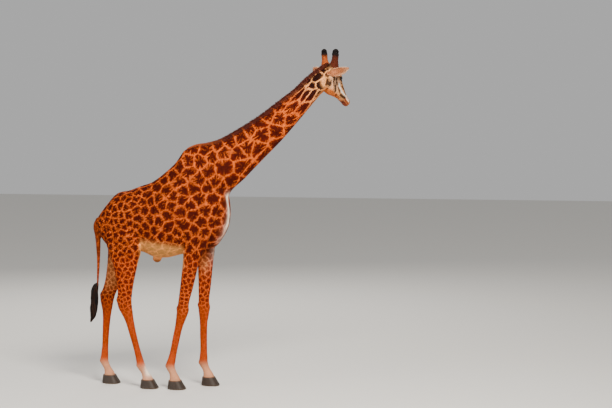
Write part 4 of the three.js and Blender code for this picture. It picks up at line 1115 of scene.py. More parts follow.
def coat_colour(tree):
    """The patches, notched towards their seeds, dark at heart, on the ground colour between them."""
    place = attribute(tree, "pattern_place")
    own = attribute(tree, "seed_0")
    away = vectors(tree, "SUBTRACT", place, own)
    from_seed = vectors(tree, "LENGTH", away)
    border = None
    for k in range(1, NEAREST):
        other = attribute(tree, f"seed_{k}")
        apart = vectors(tree, "NORMALIZE", vectors(tree, "SUBTRACT", other, own))
        middle = scaled(tree, vectors(tree, "ADD", own, other), 0.5)
        from_middle = vectors(tree, "SUBTRACT", place, middle)
        gap = maths(tree, "ABSOLUTE", vectors(tree, "DOT_PRODUCT", from_middle, apart))
        border = gap if border is None else maths(tree, "MINIMUM", border, gap)
    radius = maths(tree, "ADD", from_seed, border)
    way = vectors(tree, "ADD", scaled(tree, vectors(tree, "NORMALIZE", away), 2.1), scaled(tree, own, 41.0))
    turned = maths(tree, "SUBTRACT", grain(tree, way, 1.0, 1.0), 0.5)
    deep = ramp(tree, grain(tree, way, 0.7, 0.0), 0.35, 0.65, 0.2, 0.72)
    closeness = ramp(tree, maths(tree, "ABSOLUTE", turned), 0.010, 0.034, 1.0, 0.0)
    fissure = maths(tree, "MULTIPLY", closeness, deep)
    lobe = ramp(tree, turned, 0.06, 0.22, 0.0, 0.18)
    notch = maths(tree, "MULTIPLY", maths(tree, "MAXIMUM", fissure, lobe), attribute(tree, "notched", "Fac"))
    ragged = maths(tree, "MULTIPLY", maths(tree, "SUBTRACT", grain(tree, place, 58.0, 4.0, 0.65), 0.5), 0.26)
    ragged = maths(tree, "MULTIPLY", ragged, attribute(tree, "notched", "Fac"))
    line = maths(tree, "DIVIDE", attribute(tree, "half_line", "Fac"), radius)
    margin = maths(tree, "SUBTRACT", maths(tree, "DIVIDE", border, radius), line)
    margin = maths(tree, "ADD", maths(tree, "SUBTRACT", margin, notch), ragged)
    mask = maths(tree, "MULTIPLY", ramp(tree, margin, -0.02, 0.05), attribute(tree, "show", "Fac"))
    heart = ramp(tree, margin, 0.02, 0.40, 1.35, 0.62)
    cloud = ramp(tree, grain(tree, place, 11.0, 3.0), 0.3, 0.7, 0.86, 1.12)
    hairs = ramp(tree, grain(tree, place, 520.0, 1.0), 0.25, 0.75, 0.80, 1.16)
    ground = scaled(tree, attribute(tree, "ground"), cloud)
    patch = scaled(tree, attribute(tree, "patch"), heart)
    return scaled(tree, mixed(tree, mask, ground, patch), hairs)


coat_material, tree, shader = new_material("coat", roughness=0.75, specular=0.09)
link(tree, coat_colour(tree), shader.inputs["Base Color"])
skin_place = object_place(tree)
creases = maths(tree, "MULTIPLY", grain(tree, skin_place, 34.0, 4.0, 0.6), 0.7)
bumped(tree, shader, maths(tree, "ADD", creases, grain(tree, skin_place, 420.0, 2.0)), 0.0022)
skin.data.materials.append(coat_material)

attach(skin, "root")
FLESH_FORMS = ("torso", "neck", "head", "leg")
FLESH = [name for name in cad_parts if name.split("_")[0] in FLESH_FORMS] + ["tail_dock"]
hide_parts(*FLESH)

# ------------------------------------------------------------------ strands and where they grow
# All hair is solid strands: three-sided, pointed at both ends, and following a path of their own.
# A strand's root is drawn on the hide, and carries the markings of the hide there.
PATCH_ACROSS = 0.003  # size of one strand's own patch on the bake map


def strand_object(name, paths, flats, widths, thick, patches):
    """Strands through paths (strands, steps, 3), with half widths at their inner steps."""
    count, steps = paths.shape[:2]
    along = unit(np.gradient(paths, axis=1))
    side = unit(np.cross(along, flats[:, None]))
    lift = np.cross(side, along)
    inner, side, lift = paths[:, 1:-1], side[:, 1:-1], lift[:, 1:-1]
    wide, tall = np.asarray(widths)[..., None], np.asarray(thick)[..., None]
    rings = np.stack([inner - side * wide, inner + lift * tall, inner + side * wide], 2)
    points = np.concatenate([paths[:, :1], rings.reshape(count, -1, 3), paths[:, -1:]], 1)
    size = points.shape[1]
    faces = []
    for j in range(3):
        k = (j + 1) % 3
        faces.append((0, 1 + k, 1 + j))
        for start in range(1, size - 4, 3):
            faces += [(start + j, start + k, start + 3 + k), (start + j, start + 3 + k, start + 3 + j)]
        faces.append((size - 4 + j, size - 4 + k, size - 1))
    faces = np.array(faces)
    if np.linalg.det(points[0][faces] - points[0].mean(0)).sum() < 0:
        faces = faces[:, ::-1]
    every = (faces[None] + (np.arange(count) * size)[:, None, None]).reshape(-1, 3)
    made = mesh_object(name, to_model(points.reshape(-1, 3)), every)
    across = np.concatenate([[0.5], np.tile([0, 0.5, 1], steps - 2), [0.5]])
    share = np.concatenate([[0], np.repeat(np.arange(1, steps - 1), 3), [steps - 1]]) / (steps - 1)
    local = (np.stack([across, share], 1) - 0.5) * PATCH_ACROSS
    where = (patches[:, None] + local).reshape(-1, 2)
    bake_map = made.data.uv_layers.new(name="OFBake").data
    bake_map.foreach_set("uv", where[every.ravel()].astype(np.float32).ravel())
    return made, size


def spread(values):
    """Numbers laid out from just above 0 to just below 1, for the bake map."""
    low, high = values.min(), values.max()
    return 0.004 + 0.992 * (values - low) / max(high - low, 1e-6)


hide_normals = normals_of(hide_points, hide_faces)
hide_corners = hide_points[hide_faces]
face_areas = np.linalg.norm(
    np.cross(hide_corners[:, 1] - hide_corners[:, 0], hide_corners[:, 2] - hide_corners[:, 0]), axis=1
) / 2


def drawn_roots(rng, count, likely):
    """Random places on the hide: the face and corner shares of each, by area and a likelihood per face."""
    weight = np.cumsum(face_areas * likely)
    face = np.searchsorted(weight, rng.uniform(0, weight[-1], count))
    a, b = rng.uniform(0, 1, (2, count))
    fold = a + b > 1
    a[fold], b[fold] = 1 - a[fold], 1 - b[fold]
    return hide_faces[face], np.stack([1 - a - b, a, b], 1)


def at_roots(values, roots):
    corners, shares = roots
    values = values[corners]
    return (values * shares.reshape(shares.shape + (1,) * (values.ndim - 2))).sum(1)


# ------------------------------------------------------------------ the coat's tufts
# Short flat tufts lie over the hide along the coat's lie: back along neck and trunk, and down the
# legs. They carry the markings of their roots, and are smallest on the face and the feet.
tuft_draw = np.random.default_rng(5)
down = np.array([0, 0, -1.0])
lie = -marks["way"] * (1 - marks["on_leg"])[:, None] + down * (0.35 + 0.9 * marks["on_leg"])[:, None]
lie -= hide_normals * (lie * hide_normals).sum(1)[:, None]
lie = unit(relaxed(unit(lie), hide_pairs, 20))
height = hide_points[:, 2]
fine = np.clip(marks["on_head"] + smooth_step(700, 250, height), 0, 1)
tuft_long = 19 - 5 * marks["on_leg"] - 2 * marks["on_neck"]
tuft_long = tuft_long * (1 - fine) + 9.5 * fine * np.interp(marks["head"][:, 0], [610, 670], [1, 0.4])
sparse = np.where(lids, 0.0, 1 / (tuft_long / 19) ** 1.3)
region = np.full(len(hide_points), 1)
region[hide_points[:, 0] < 300] = 6
region[hide_points[:, 0] < -80] = 0
region[marks["on_neck"] > 0.5] = 2
region[(marks["on_leg"] > 0.5)] = 3
region[(marks["on_leg"] > 0.5) & (hide_points[:, 0] < 60)] = 4
region[marks["on_head"] > 0.5] = 5
COAT_PIECES = [  # in the order of the regions' numbers, with how many tufts each has
    ("coat_rump", 30_000), ("coat_chest", 31_000), ("coat_neck", 28_000), ("coat_fore_legs", 20_000),
    ("coat_hind_legs", 24_000), ("coat_head", 28_000), ("coat_barrel", 22_000),
]
from_axis = hide_points - marks["foot"]
tuft_angle = np.arctan2(from_axis[:, 1], np.where(marks["way"][:, 2] > 0.9, from_axis[:, 0], from_axis[:, 2]))
for index, (name, count) in enumerate(COAT_PIECES):
    corners, shares = drawn_roots(tuft_draw, count, (sparse * (region == index))[hide_faces].mean(1))
    roots = corners, shares
    place, normal, way = (at_roots(values, roots) for values in (hide_points, hide_normals, lie))
    long = at_roots(tuft_long, roots) * tuft_draw.uniform(0.75, 1.3, count)
    way = unit(way + 0.16 * tuft_draw.normal(size=(count, 3)))
    normal = unit(normal)
    way = unit(way - normal * (way * normal).sum(1)[:, None])
    rise = tuft_draw.uniform(0.05, 0.11, count) * long
    paths = np.stack([
        place - normal * 0.9,
        place + way * (0.45 * long)[:, None] + normal * (0.55 * rise)[:, None],
        place + way * long[:, None] + normal * rise[:, None],
    ], 1)
    angle, run = tuft_angle[corners[:, 0]], at_roots(marks["s"], roots)
    if name.endswith("legs"):
        run = place[:, 2]
        axes = np.array([[joints["knee" if "knee" in joints else "hock"][0], SIDE_OF[leg] * 166]
                         for leg, joints in JOINTS.items()])
        leg = np.linalg.norm(place[:, None, :2] - axes, axis=2).argmin(1)
        away = place[:, :2] - axes[leg]
        angle = leg + np.arctan2(away[:, 1], away[:, 0]) / (2 * pi) * 0.96
    coat, size = strand_object(name, paths, normal, (0.105 * long)[:, None], (0.035 * long)[:, None],
                               np.stack([spread(run), spread(angle)], 1))
    rooted = {
        key: np.repeat(at_roots(marks[key], roots), size, 0)
        for key in ("ground", "patch", "half_line", "show", "notched")
    }
    carry_markings(coat.data, rooted, np.repeat(at_roots(places, roots), size, 0),
                   np.repeat(nearest_seeds(at_roots(places, roots)), size, 0), "POINT")
    coat.data.materials.append(coat_material)
    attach(coat, "root")

# ------------------------------------------------------------------ eyes and lashes
# Large dark eyes with a clear bulge over a long level pupil, and long lashes on both lids.
eye_material, tree, shader = new_material("eye", roughness=0.04, specular=0.6)
eye_place = attribute(tree, "eye_place")
parts = tree.nodes.new("ShaderNodeSeparateXYZ")
link(tree, eye_place, parts.inputs[0])
_, level, rise = parts.outputs
level_squared, rise_squared = maths(tree, "MULTIPLY", level, level), maths(tree, "MULTIPLY", rise, rise)
radial = maths(tree, "SQRT", maths(tree, "ADD", level_squared, rise_squared))
pupil = maths(tree, "ADD", *[
    maths(tree, "POWER", maths(tree, "ABSOLUTE", maths(tree, "DIVIDE", part, half)), 2.6)
    for part, half in ((level, 0.50), (rise, 0.24))
])
fibres = ramp(tree, grain(tree, vectors(tree, "NORMALIZE", eye_place), 9.0, 4.0, 0.7), 0.3, 0.7, 0.6, 1.5)
iris = mixed(tree, ramp(tree, radial, 0.3, 0.82), tuple(colour(66, 34, 18)), tuple(colour(26, 13, 9)))
iris = scaled(tree, iris, fibres)
iris = mixed(tree, ramp(tree, pupil, 0.8, 1.15), tuple(colour(8, 7, 12)), iris)
eye_colour = mixed(tree, ramp(tree, radial, 0.84, 0.92), iris, tuple(colour(34, 20, 15)))
link(tree, eye_colour, shader.inputs["Base Color"])
hair_material, tree, shader = new_material("hair", roughness=0.55, specular=0.22)
tint = attribute(tree, "tint")
shade = ramp(tree, attribute(tree, "shade", "Fac"), 0.0, 1.0, 0.6, 1.4)
link(tree, scaled(tree, tint, shade), shader.inputs["Base Color"])


def tinted(piece, size, tints, shades):
    """Gives strands a colour each, or a colour for each of their points, and a lightness each."""
    tints = np.asarray(tints)
    if tints.ndim == 2:
        tints = np.repeat(tints[:, None], size, 1)
    store(piece.data, "tint", "FLOAT_VECTOR", "POINT", tints.reshape(-1, 3))
    store(piece.data, "shade", "FLOAT", "POINT", np.repeat(shades, size))
    piece.data.materials.append(hair_material)


lash_draw = np.random.default_rng(3)
for side, way in (("left", 1), ("right", -1)):
    axes = EYE_AXES[way]
    centre = np.array(EYE_PLACE) * [1, way, 1]
    ball, ball_faces = egg((0, 0, 0), (1, 1, 1), np.array([[0, 1, 0], [0, 0, 1], [1, 0, 0]]), 48)
    ball = unit(ball)
    bulge = 1 + 0.06 * np.exp(-((np.degrees(np.arccos(np.clip(ball[:, 0], -1, 1))) / 34) ** 2))
    reach = (EYE_RADIUS - 0.4) * bulge
    ball_points = from_head(centre + (ball * reach[:, None]) @ axes)
    eye = mesh_object(f"eyeball_{side}", to_model(ball_points), ball_faces)
    store(eye.data, "eye_place", "FLOAT_VECTOR", "POINT", ball)
    eye.data.materials.append(eye_material)
    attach(eye, "root")
    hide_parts(f"eye_{side}")


def lashes(way, upper, count, long):
    """Lashes rooted behind the edge of a lid, that sweep outwards and then up (or down) and back."""
    outward, forward, upward = EYE_AXES[way]
    turn = 1 if upper else -1
    angle = np.linspace(0.12, 0.88, count) * pi + lash_draw.normal(0, 0.02, count)
    c, s = np.cos(angle), np.sin(angle) * turn
    wide = np.where(c > 0, LID_OPEN["front"], LID_OPEN["back"])
    tall = LID_OPEN["up" if upper else "down"]
    opening = np.radians(((np.abs(c) / wide) ** 1.8 + (np.abs(s) / tall) ** 1.8) ** (-1 / 1.8) + 3)[:, None]
    spoke = c[:, None] * forward + s[:, None] * upward
    long = (long * lash_draw.uniform(0.8, 1.15, count) * (0.6 + 0.4 * np.abs(s)))[:, None]
    root = np.cos(opening) * outward + np.sin(opening) * spoke
    stem = unit(outward + 0.45 * spoke + lash_draw.normal(0, 0.06, (count, 3)))
    centre = np.array(EYE_PLACE) * [1, way, 1]
    bend = spoke * 0.9 - forward * 0.25
    steps = np.linspace(0, 1, 6)[None, :, None]
    curve = steps * stem[:, None] + 0.5 * steps**2 * bend[:, None]
    paths = centre + (EYE_RADIUS + 1.5) * root[:, None] + long[:, None] * curve
    return from_head(paths.reshape(-1, 3)).reshape(paths.shape)


for side, way in (("left", 1), ("right", -1)):
    paths = np.concatenate([lashes(way, True, 64, 25), lashes(way, True, 50, 20), lashes(way, False, 36, 12)])
    count = len(paths)
    flat = from_head(EYE_AXES[way][2:]) - POLL
    widths = np.tile(np.array([0.62, 0.6, 0.46, 0.26]), (count, 1))
    lash, size = strand_object(f"lashes_{side}", paths, np.repeat(flat, count, 0), widths, widths * 1.2,
                               np.stack([spread(np.arange(count)), np.full(count, 0.5)], 1))
    tinted(lash, size, np.tile(colour(14, 9, 8), (count, 1)), lash_draw.uniform(0.2, 0.8, count))
    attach(lash, "root")

# ------------------------------------------------------------------ horns
# Two furred stems that lean back from the brow, each with a blunt dark knob in a ring of longer hair.
HORN = {"height": 232, "foot": 53, "neck": 39, "knob": 34, "along": 92, "out": 60, "lean": 33, "splay": 5}
HORN_FOOT = 53  # length of the horn that is sunk in the brow
# The brown is the stems' own colour; the orange is painted sunlight on them.
HORN_BROWN, HORN_BLACK, HORN_SUNLIT_ORANGE = colour(64, 22, 12), colour(16, 9, 8), colour(186, 88, 30)
foot, neck_half, knob = HORN["foot"], HORN["neck"], HORN["knob"]
HORN_TOP = 258  # the height that the levels are given for
HORN_LEVELS = [
    (0, foot * 1.3), (38, foot * 1.14), (62, foot * 0.98), (90, foot * 0.4 + neck_half * 0.6),
    (125, neck_half * 0.97), (175, neck_half * 0.97), (196, neck_half * 1.02), (212, knob),
    (230, knob * 0.98), (245, knob * 0.78), (253, knob * 0.45), (256.5, knob * 0.12),
]
HORN_SIDES = 56
horn_material, tree, shader = new_material("horn", roughness=0.8, specular=0.12)
up_horn = attribute(tree, "up_horn", "Fac")
# Painted sunlight: each stem is mixed from its brown towards the lit orange by its pale share.
stem_colour = mixed(tree, attribute(tree, "pale", "Fac"), tuple(HORN_BROWN), tuple(HORN_SUNLIT_ORANGE))
wander = maths(tree, "MULTIPLY_ADD", grain(tree, object_place(tree), 40.0, 3.0), 0.16,
               maths(tree, "SUBTRACT", up_horn, 0.08))
horn_colour = mixed(tree, ramp(tree, wander, 0.58, 0.76), stem_colour, tuple(HORN_BLACK))
link(tree, horn_colour, shader.inputs["Base Color"])
bumped(tree, shader, grain(tree, object_place(tree), 160.0, 3.0), 0.0016)
horn_draw = np.random.default_rng(11)
HORN_SUNLIT_SHARE = {"left": 0.75, "right": 0.06}  # painted sunlight: how orange each stem is, the far left stem painted as lit by the sun and the near right one as in shade
SIDES = (("left", 1), ("right", -1))


def horn_axes(way):
    lean, splay = radians(HORN["lean"]), radians(HORN["splay"]) * way
    axis = unit([-sin(lean), sin(splay), cos(lean) * cos(splay)])
    side = unit(np.array([0, 1, 0]) - axis * axis[1])
    return axis, side, np.cross(axis, side)


def horn_place(way, height, half, angle):
    """A place on a horn's surface from its height and its angle round the stem."""
    axis, side, ahead = horn_axes(way)
    rise = height * (HORN["height"] + HORN_FOOT) / HORN_TOP
    lumps = 0.022 * np.sin(3 * angle + height / 17) + 0.016 * np.sin(5 * angle - height / 11 + way)
    half = half * (0.965 + lumps * np.clip(height / 60, 0, 1))
    half = half * (1 + 0.5 * np.maximum(0, -way * np.cos(angle)) ** 2 * smooth_step(150, 50, height))
    half = half * (1 - 0.05 * way * smooth_step(50, 110, height))
    across = half[..., None] * (np.cos(angle)[..., None] * side + 1.12 * np.sin(angle)[..., None] * ahead)
    root = np.array([HORN["along"], HORN["out"] * way, 62])
    return root + rise[..., None] * axis + across


horn_heights, horn_halves = read_smoothly(HORN_LEVELS, [row[0] for row in HORN_LEVELS], 5).T
for side, way in SIDES:
    angle = np.arange(HORN_SIDES) / HORN_SIDES * 2 * pi
    rings = [
        from_head(horn_place(way, np.full(HORN_SIDES, height), np.full(HORN_SIDES, half), angle))
        for height, half in zip(horn_heights, horn_halves)
    ]
    points, faces = loft(rings)
    horn = mesh_object(f"horn_stem_{side}", to_model(points), faces)
    up_horn = np.append(np.repeat(horn_heights, HORN_SIDES), [0, HORN_TOP]) / HORN_TOP
    store(horn.data, "up_horn", "FLOAT", "POINT", up_horn)
    # The stem's share of painted sunlight, stored as its pale value.
    store(horn.data, "pale", "FLOAT", "POINT", np.full(len(points), HORN_SUNLIT_SHARE[side]))
    horn.data.materials.append(horn_material)
    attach(horn, "root")
    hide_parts(f"horn_{side}")

    count = 3600
    height = horn_draw.uniform(4, 234, count)
    ring_hair = height > 196
    angle = horn_draw.uniform(0, 2 * pi, count)
    half = np.interp(height, horn_heights, horn_halves)
    root = horn_place(way, height, half - 0.8, angle)
    above = horn_place(way, height + 6, np.interp(height + 6, horn_heights, horn_halves), angle)
    middle = horn_place(way, height, half * 0, angle)
    out = unit(root - middle)
    rise = unit(unit(above - root) + 0.15 * horn_draw.normal(size=(count, 3)))
    long = horn_draw.uniform(8, 14, count) + 5 * ring_hair * (height < 222)
    lift = np.where(ring_hair, 0.22, 0.10)
    steps = np.array([0, 0.35, 0.7, 1])[None, :, None]
    curve = steps * rise[:, None] + (lift[:, None, None] * steps) * out[:, None]
    paths = root[:, None] + long[:, None, None] * curve
    paths = from_head(paths.reshape(-1, 3)).reshape(paths.shape)
    flats = from_head(out) - POLL
    widths = np.tile([1.1, 0.75], (count, 1)) * horn_draw.uniform(0.7, 1.2, (count, 1))
    hair, size = strand_object(f"horn_hair_{side}", paths, flats, widths, widths * 0.5,
                               np.stack([spread(angle), spread(height)], 1))
    wander = height / HORN_TOP + horn_draw.normal(0, 0.035, count)
    streaky = (0.7 + 0.3 * np.cos(3 * angle))[:, None]
    # The hair on the stems takes the same painted sunlight: orange on the lit stem, brown on the shaded one.
    stem_tint = HORN_BROWN + (HORN_SUNLIT_ORANGE - HORN_BROWN) * HORN_SUNLIT_SHARE[side] * streaky
    tints = blend(stem_tint, (HORN_BLACK, smooth_step(0.58, 0.74, wander)))
    tinted(hair, size, tints, horn_draw.uniform(0.1, 0.9, count))
    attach(hair, "root")

# ------------------------------------------------------------------ ears
# Leaf-shaped cups on short stems, open to the front, thin at the rim and furred inside and out.
EAR = {"length": 262, "width": 120, "wall": 7, "cup": 34, "sag": 11, "along": -3, "up": -26, "out": 61}
EAR_LEVELS = [  # share of the length, of the width and of the cup's depth
    (-0.12, 0.36, 0.15), (0, 0.48, 0.2), (0.1, 0.72, 0.5), (0.22, 0.94, 0.85), (0.38, 1, 1),
    (0.54, 0.95, 0.9), (0.7, 0.78, 0.7), (0.85, 0.48, 0.4), (0.96, 0.2, 0.15), (1, 0.06, 0.02),
]
EAR_ACROSS = 29  # points across an ear's outer face, and two fewer across its inner one
EAR_TAN, EAR_PALE, EAR_INNER = colour(160, 92, 52), colour(236, 190, 150), colour(196, 132, 92)
ear_draw = np.random.default_rng(13)
ear_levels = read_smoothly(EAR_LEVELS, [row[0] for row in EAR_LEVELS], 5)


def ear_axes(way):
    axis = unit([0.4, 0.717 * way, 0.57])
    toward = np.array([0.86, -0.45 * way, 0.05])
    toward = unit(toward - axis * (toward @ axis))
    return axis, toward, unit(np.cross(axis, toward))


def ear_place(way, share, across, inside):
    """A place on the ear: share from stem to tip, -1 to 1 across it, on its inner or outer face."""
    axis, toward, side = ear_axes(way)
    wide, cup = (np.interp(share, ear_levels[:, 0], ear_levels[:, k]) for k in (1, 2))
    half, deep = EAR["width"] / 2 * wide, EAR["cup"] * cup
    wall = EAR["wall"] + np.maximum(0, 0.4 - cup) * 120 * wide
    bow = 1 - across**2
    ripple = 1.1 * np.sin(across * 9 + way) * bow * cup
    sink = np.where(inside, 0, wall * (0.16 + 0.84 * bow)) + ripple
    root = np.array([EAR["along"], EAR["out"] * way, EAR["up"]])
    flat = across * half * np.where(inside, 0.97, 1) + way * EAR["sag"] * np.sin(pi * np.maximum(0, share))
    return (root + np.multiply.outer(share * EAR["length"], axis) + np.multiply.outer(flat, side)
            - np.multiply.outer(deep * bow + sink, toward))


ear_material, tree, shader = new_material("ear", roughness=0.7, specular=0.25, sheen=0.15)
within = attribute(tree, "within", "Fac")
clouds = ramp(tree, grain(tree, object_place(tree), 60.0, 3.0), 0.3, 0.7, 0.8, 1.15)
ear_colour = mixed(tree, within, tuple(EAR_TAN), tuple(EAR_INNER))
link(tree, scaled(tree, ear_colour, clouds), shader.inputs["Base Color"])
bumped(tree, shader, grain(tree, object_place(tree), 380.0, 3.0), 0.001)
for side, way in SIDES:
    across = np.linspace(-1, 1, EAR_ACROSS)
    rings, within = [], []
    for share in ear_levels[:, 0]:
        outer = ear_place(way, np.full(EAR_ACROSS, share), across, False)
        inner = ear_place(way, np.full(EAR_ACROSS - 2, share), across[1:-1][::-1], True)
        rings.append(from_head(np.vstack([outer, inner])))
        within.append(np.concatenate([np.zeros(EAR_ACROSS), np.ones(EAR_ACROSS - 2)]))
    points, faces = loft(rings if way > 0 else [ring[::-1] for ring in rings])
    ear = mesh_object(f"ear_shell_{side}", to_model(points), faces)
    within = np.concatenate([flag if way > 0 else flag[::-1] for flag in within] + [[0, 0]])
    store(ear.data, "within", "FLOAT", "POINT", within)
    ear.data.materials.append(ear_material)
    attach(ear, "root")
    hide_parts(f"ear_{side}")

    axis, toward, flat_way = ear_axes(way)
    for name, count, inside in (("ear_fur", 4600, False), ("ear_lining", 2400, True)):
        share = ear_draw.uniform(0.02 if inside else -0.1, 0.95, count)
        across = ear_draw.uniform(-0.98, 0.98, count)
        if inside:  # long hair lines the edges of the cup
            across = np.sign(across) * (1 - 0.5 * np.abs(across) ** 2)
        root = ear_place(way, share, across, inside)
        face = toward if inside else -toward
        outward = unit(face + 0.9 * across[:, None] * flat_way * (-1 if inside else 1))
        inward = 0.5 * across[:, None] * flat_way if inside else 0
        sweep = unit(axis + 0.2 * ear_draw.normal(size=(count, 3)) - inward)
        long = ear_draw.uniform(16, 34, count) if inside else ear_draw.uniform(8, 13, count)
        long = long * np.minimum(1, 0.35 + 2.2 * (1 - share))
        steps = np.array([0, 0.35, 0.7, 1])[None, :, None]
        lift = 0.30 if inside else 0.10
        paths = (root - outward * 0.6)[:, None] + long[:, None, None] * (
            steps * sweep[:, None] + lift * steps**0.8 * outward[:, None])
        paths = from_head(paths.reshape(-1, 3)).reshape(paths.shape)
        widths = np.tile([0.9, 0.6], (count, 1)) * ear_draw.uniform(0.7, 1.2, (count, 1))
        widths = widths * (0.7 if inside else 1)
        hair, size = strand_object(f"{name}_{side}", paths, from_head(outward) - POLL, widths, widths * 0.45,
                                   np.stack([spread(share), spread(across)], 1))
        pale = 0.8 if inside else smooth_step(0.5, 0.98, np.abs(across)) + 0.3 * smooth_step(0.5, 0.9, share)
        tints = blend(np.tile(EAR_TAN, (count, 1)), (EAR_PALE, np.clip(pale, 0, 1) * np.ones(count)))
        tinted(hair, size, tints, ear_draw.uniform(0.2, 0.9, count))
        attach(hair, "root")

# ------------------------------------------------------------------ hooves
# Two toes a foot: straight on the inside, bowed outside and in front, ringed by growth.
HOOF = {"length": 226, "width": 92, "height": 112, "split": 9.6}
HOOF_LEVELS = [  # share of the height, of the length and of the width
    (0, 0.975, 0.97), (0.03, 0.99, 0.99), (0.12, 1.005, 1.01), (0.3, 0.95, 0.975),
    (0.55, 0.855, 0.915), (0.8, 0.765, 0.85), (0.97, 0.71, 0.805), (1, 0.69, 0.79),
]
HOOF_BOW, HOOF_FLAT = 41, 14  # points round a toe's bowed side, and along its straight one
hoof_material, tree, shader = new_material("hoof", roughness=0.5, specular=0.35)
hoof_height = attribute(tree, "hoof_height", "Fac")
streaks = tree.nodes.new("ShaderNodeMapping")
streaks.inputs["Scale"].default_value = (1, 1, 0.12)
link(tree, object_place(tree), streaks.inputs["Vector"])
fibres = grain(tree, streaks.outputs[0], 240.0, 3.0, 0.6)
horn_tone = mixed(tree, ramp(tree, fibres, 0.3, 0.7), tuple(colour(34, 26, 21)), tuple(colour(64, 50, 39)))
worn = mixed(tree, ramp(tree, hoof_height, 0.0, 0.16), tuple(colour(88, 70, 54)), horn_tone)
hoof_colour = mixed(tree, ramp(tree, hoof_height, 0.86, 1.0), worn, tuple(colour(88, 62, 44)))
link(tree, hoof_colour, shader.inputs["Base Color"])
bumped(tree, shader, fibres, 0.0012)
for leg, joints in JOINTS.items():
    way = SIDE_OF[leg]
    for place, away in (("outer", way), ("inner", -way)):
        crown_x, _, crown_out = joints["crown"]
        inner_y = crown_out * way + away * HOOF["split"] / 2
        rings = []
        levels = read_smoothly(HOOF_LEVELS, [row[0] for row in HOOF_LEVELS], 6)
        angle = np.linspace(0, pi, HOOF_BOW)
        bow = np.sin(angle) ** 0.75 * (1 + 0.12 * np.cos(angle))
        for share, reach, wide in levels:
            ridge = 1 + 0.006 * sin(share * 46) * (0.1 < share < 0.95)
            half = HOOF["length"] / 2 * reach * ridge
            x = crown_x + 26 * (1 - share) * reach + np.cos(angle) * half
            y = inner_y + away * bow * HOOF["width"] * wide * ridge + away * 0.1
            outline = np.stack([x, y, np.full(HOOF_BOW, share * HOOF["height"])], 1)
            flat_side = np.linspace(outline[-1], outline[0], HOOF_FLAT)[1:-1]
            flat_side[:, 1] += away * 3.0 * np.sin(np.linspace(0, pi, HOOF_FLAT)[1:-1])
            outline = np.vstack([outline, flat_side])
            rings.append(outline if away > 0 else outline[::-1])
        points, faces = loft(rings)
        hoof = mesh_object(f"toe_{leg}_{place}", to_model(points), faces)
        store(hoof.data, "hoof_height", "FLOAT", "POINT", points[:, 2] / HOOF["height"])
        hoof.data.materials.append(hoof_material)
        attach(hoof, "root")
        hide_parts(f"hoof_{leg}_{place}")

# ------------------------------------------------------------------ mane
# Stiff upright hair in several rows along the crest, from the withers to between the horns.
MANE = {"height": 63, "lean": 30, "from": 0.02, "to": 0.985, "half": 15}
MANE_TIP, MANE_ORANGE = colour(84, 30, 16), colour(198, 92, 34)
mane_draw = np.random.default_rng(17)
crest_points = np.vstack([
    np.stack([trunk_rows[9:22, 0], trunk_rows[9:22, 4], trunk_rows[9:22, 1]], 1),
    from_head(np.array([[-30, 0, 62], [28, 0, 118]])),
])
crest = read_smoothly(crest_points, distances(crest_points), 12)
crest_share = distances(crest) / distances(crest)[-1]
crest_way = unit(np.gradient(crest, axis=0))
hide_tree = KDTree(len(hide_points))
for i, spot in enumerate(hide_points):
    hide_tree.insert(spot, i)
hide_tree.balance()


def patched_colour(some):
    """The coat's plain colour, patch or ground, at some of the hide's points."""
    at, near = places[some], nearest_seeds(places[some])
    own, others = near[:, 0], near[:, 1:]
    middle, apart = (own[:, None] + others) / 2, unit(others - own[:, None])
    from_border = np.abs(((at[:, None] - middle) * apart).sum(2)).min(1)
    share = smooth_step(0, 6, from_border - marks["half_line"][some]) * marks["show"][some]
    return blend(marks["ground"][some], (marks["patch"][some], share))


def at_crest(values, share):
    return np.stack([np.interp(share, crest_share, values[:, k]) for k in range(3)], 1)


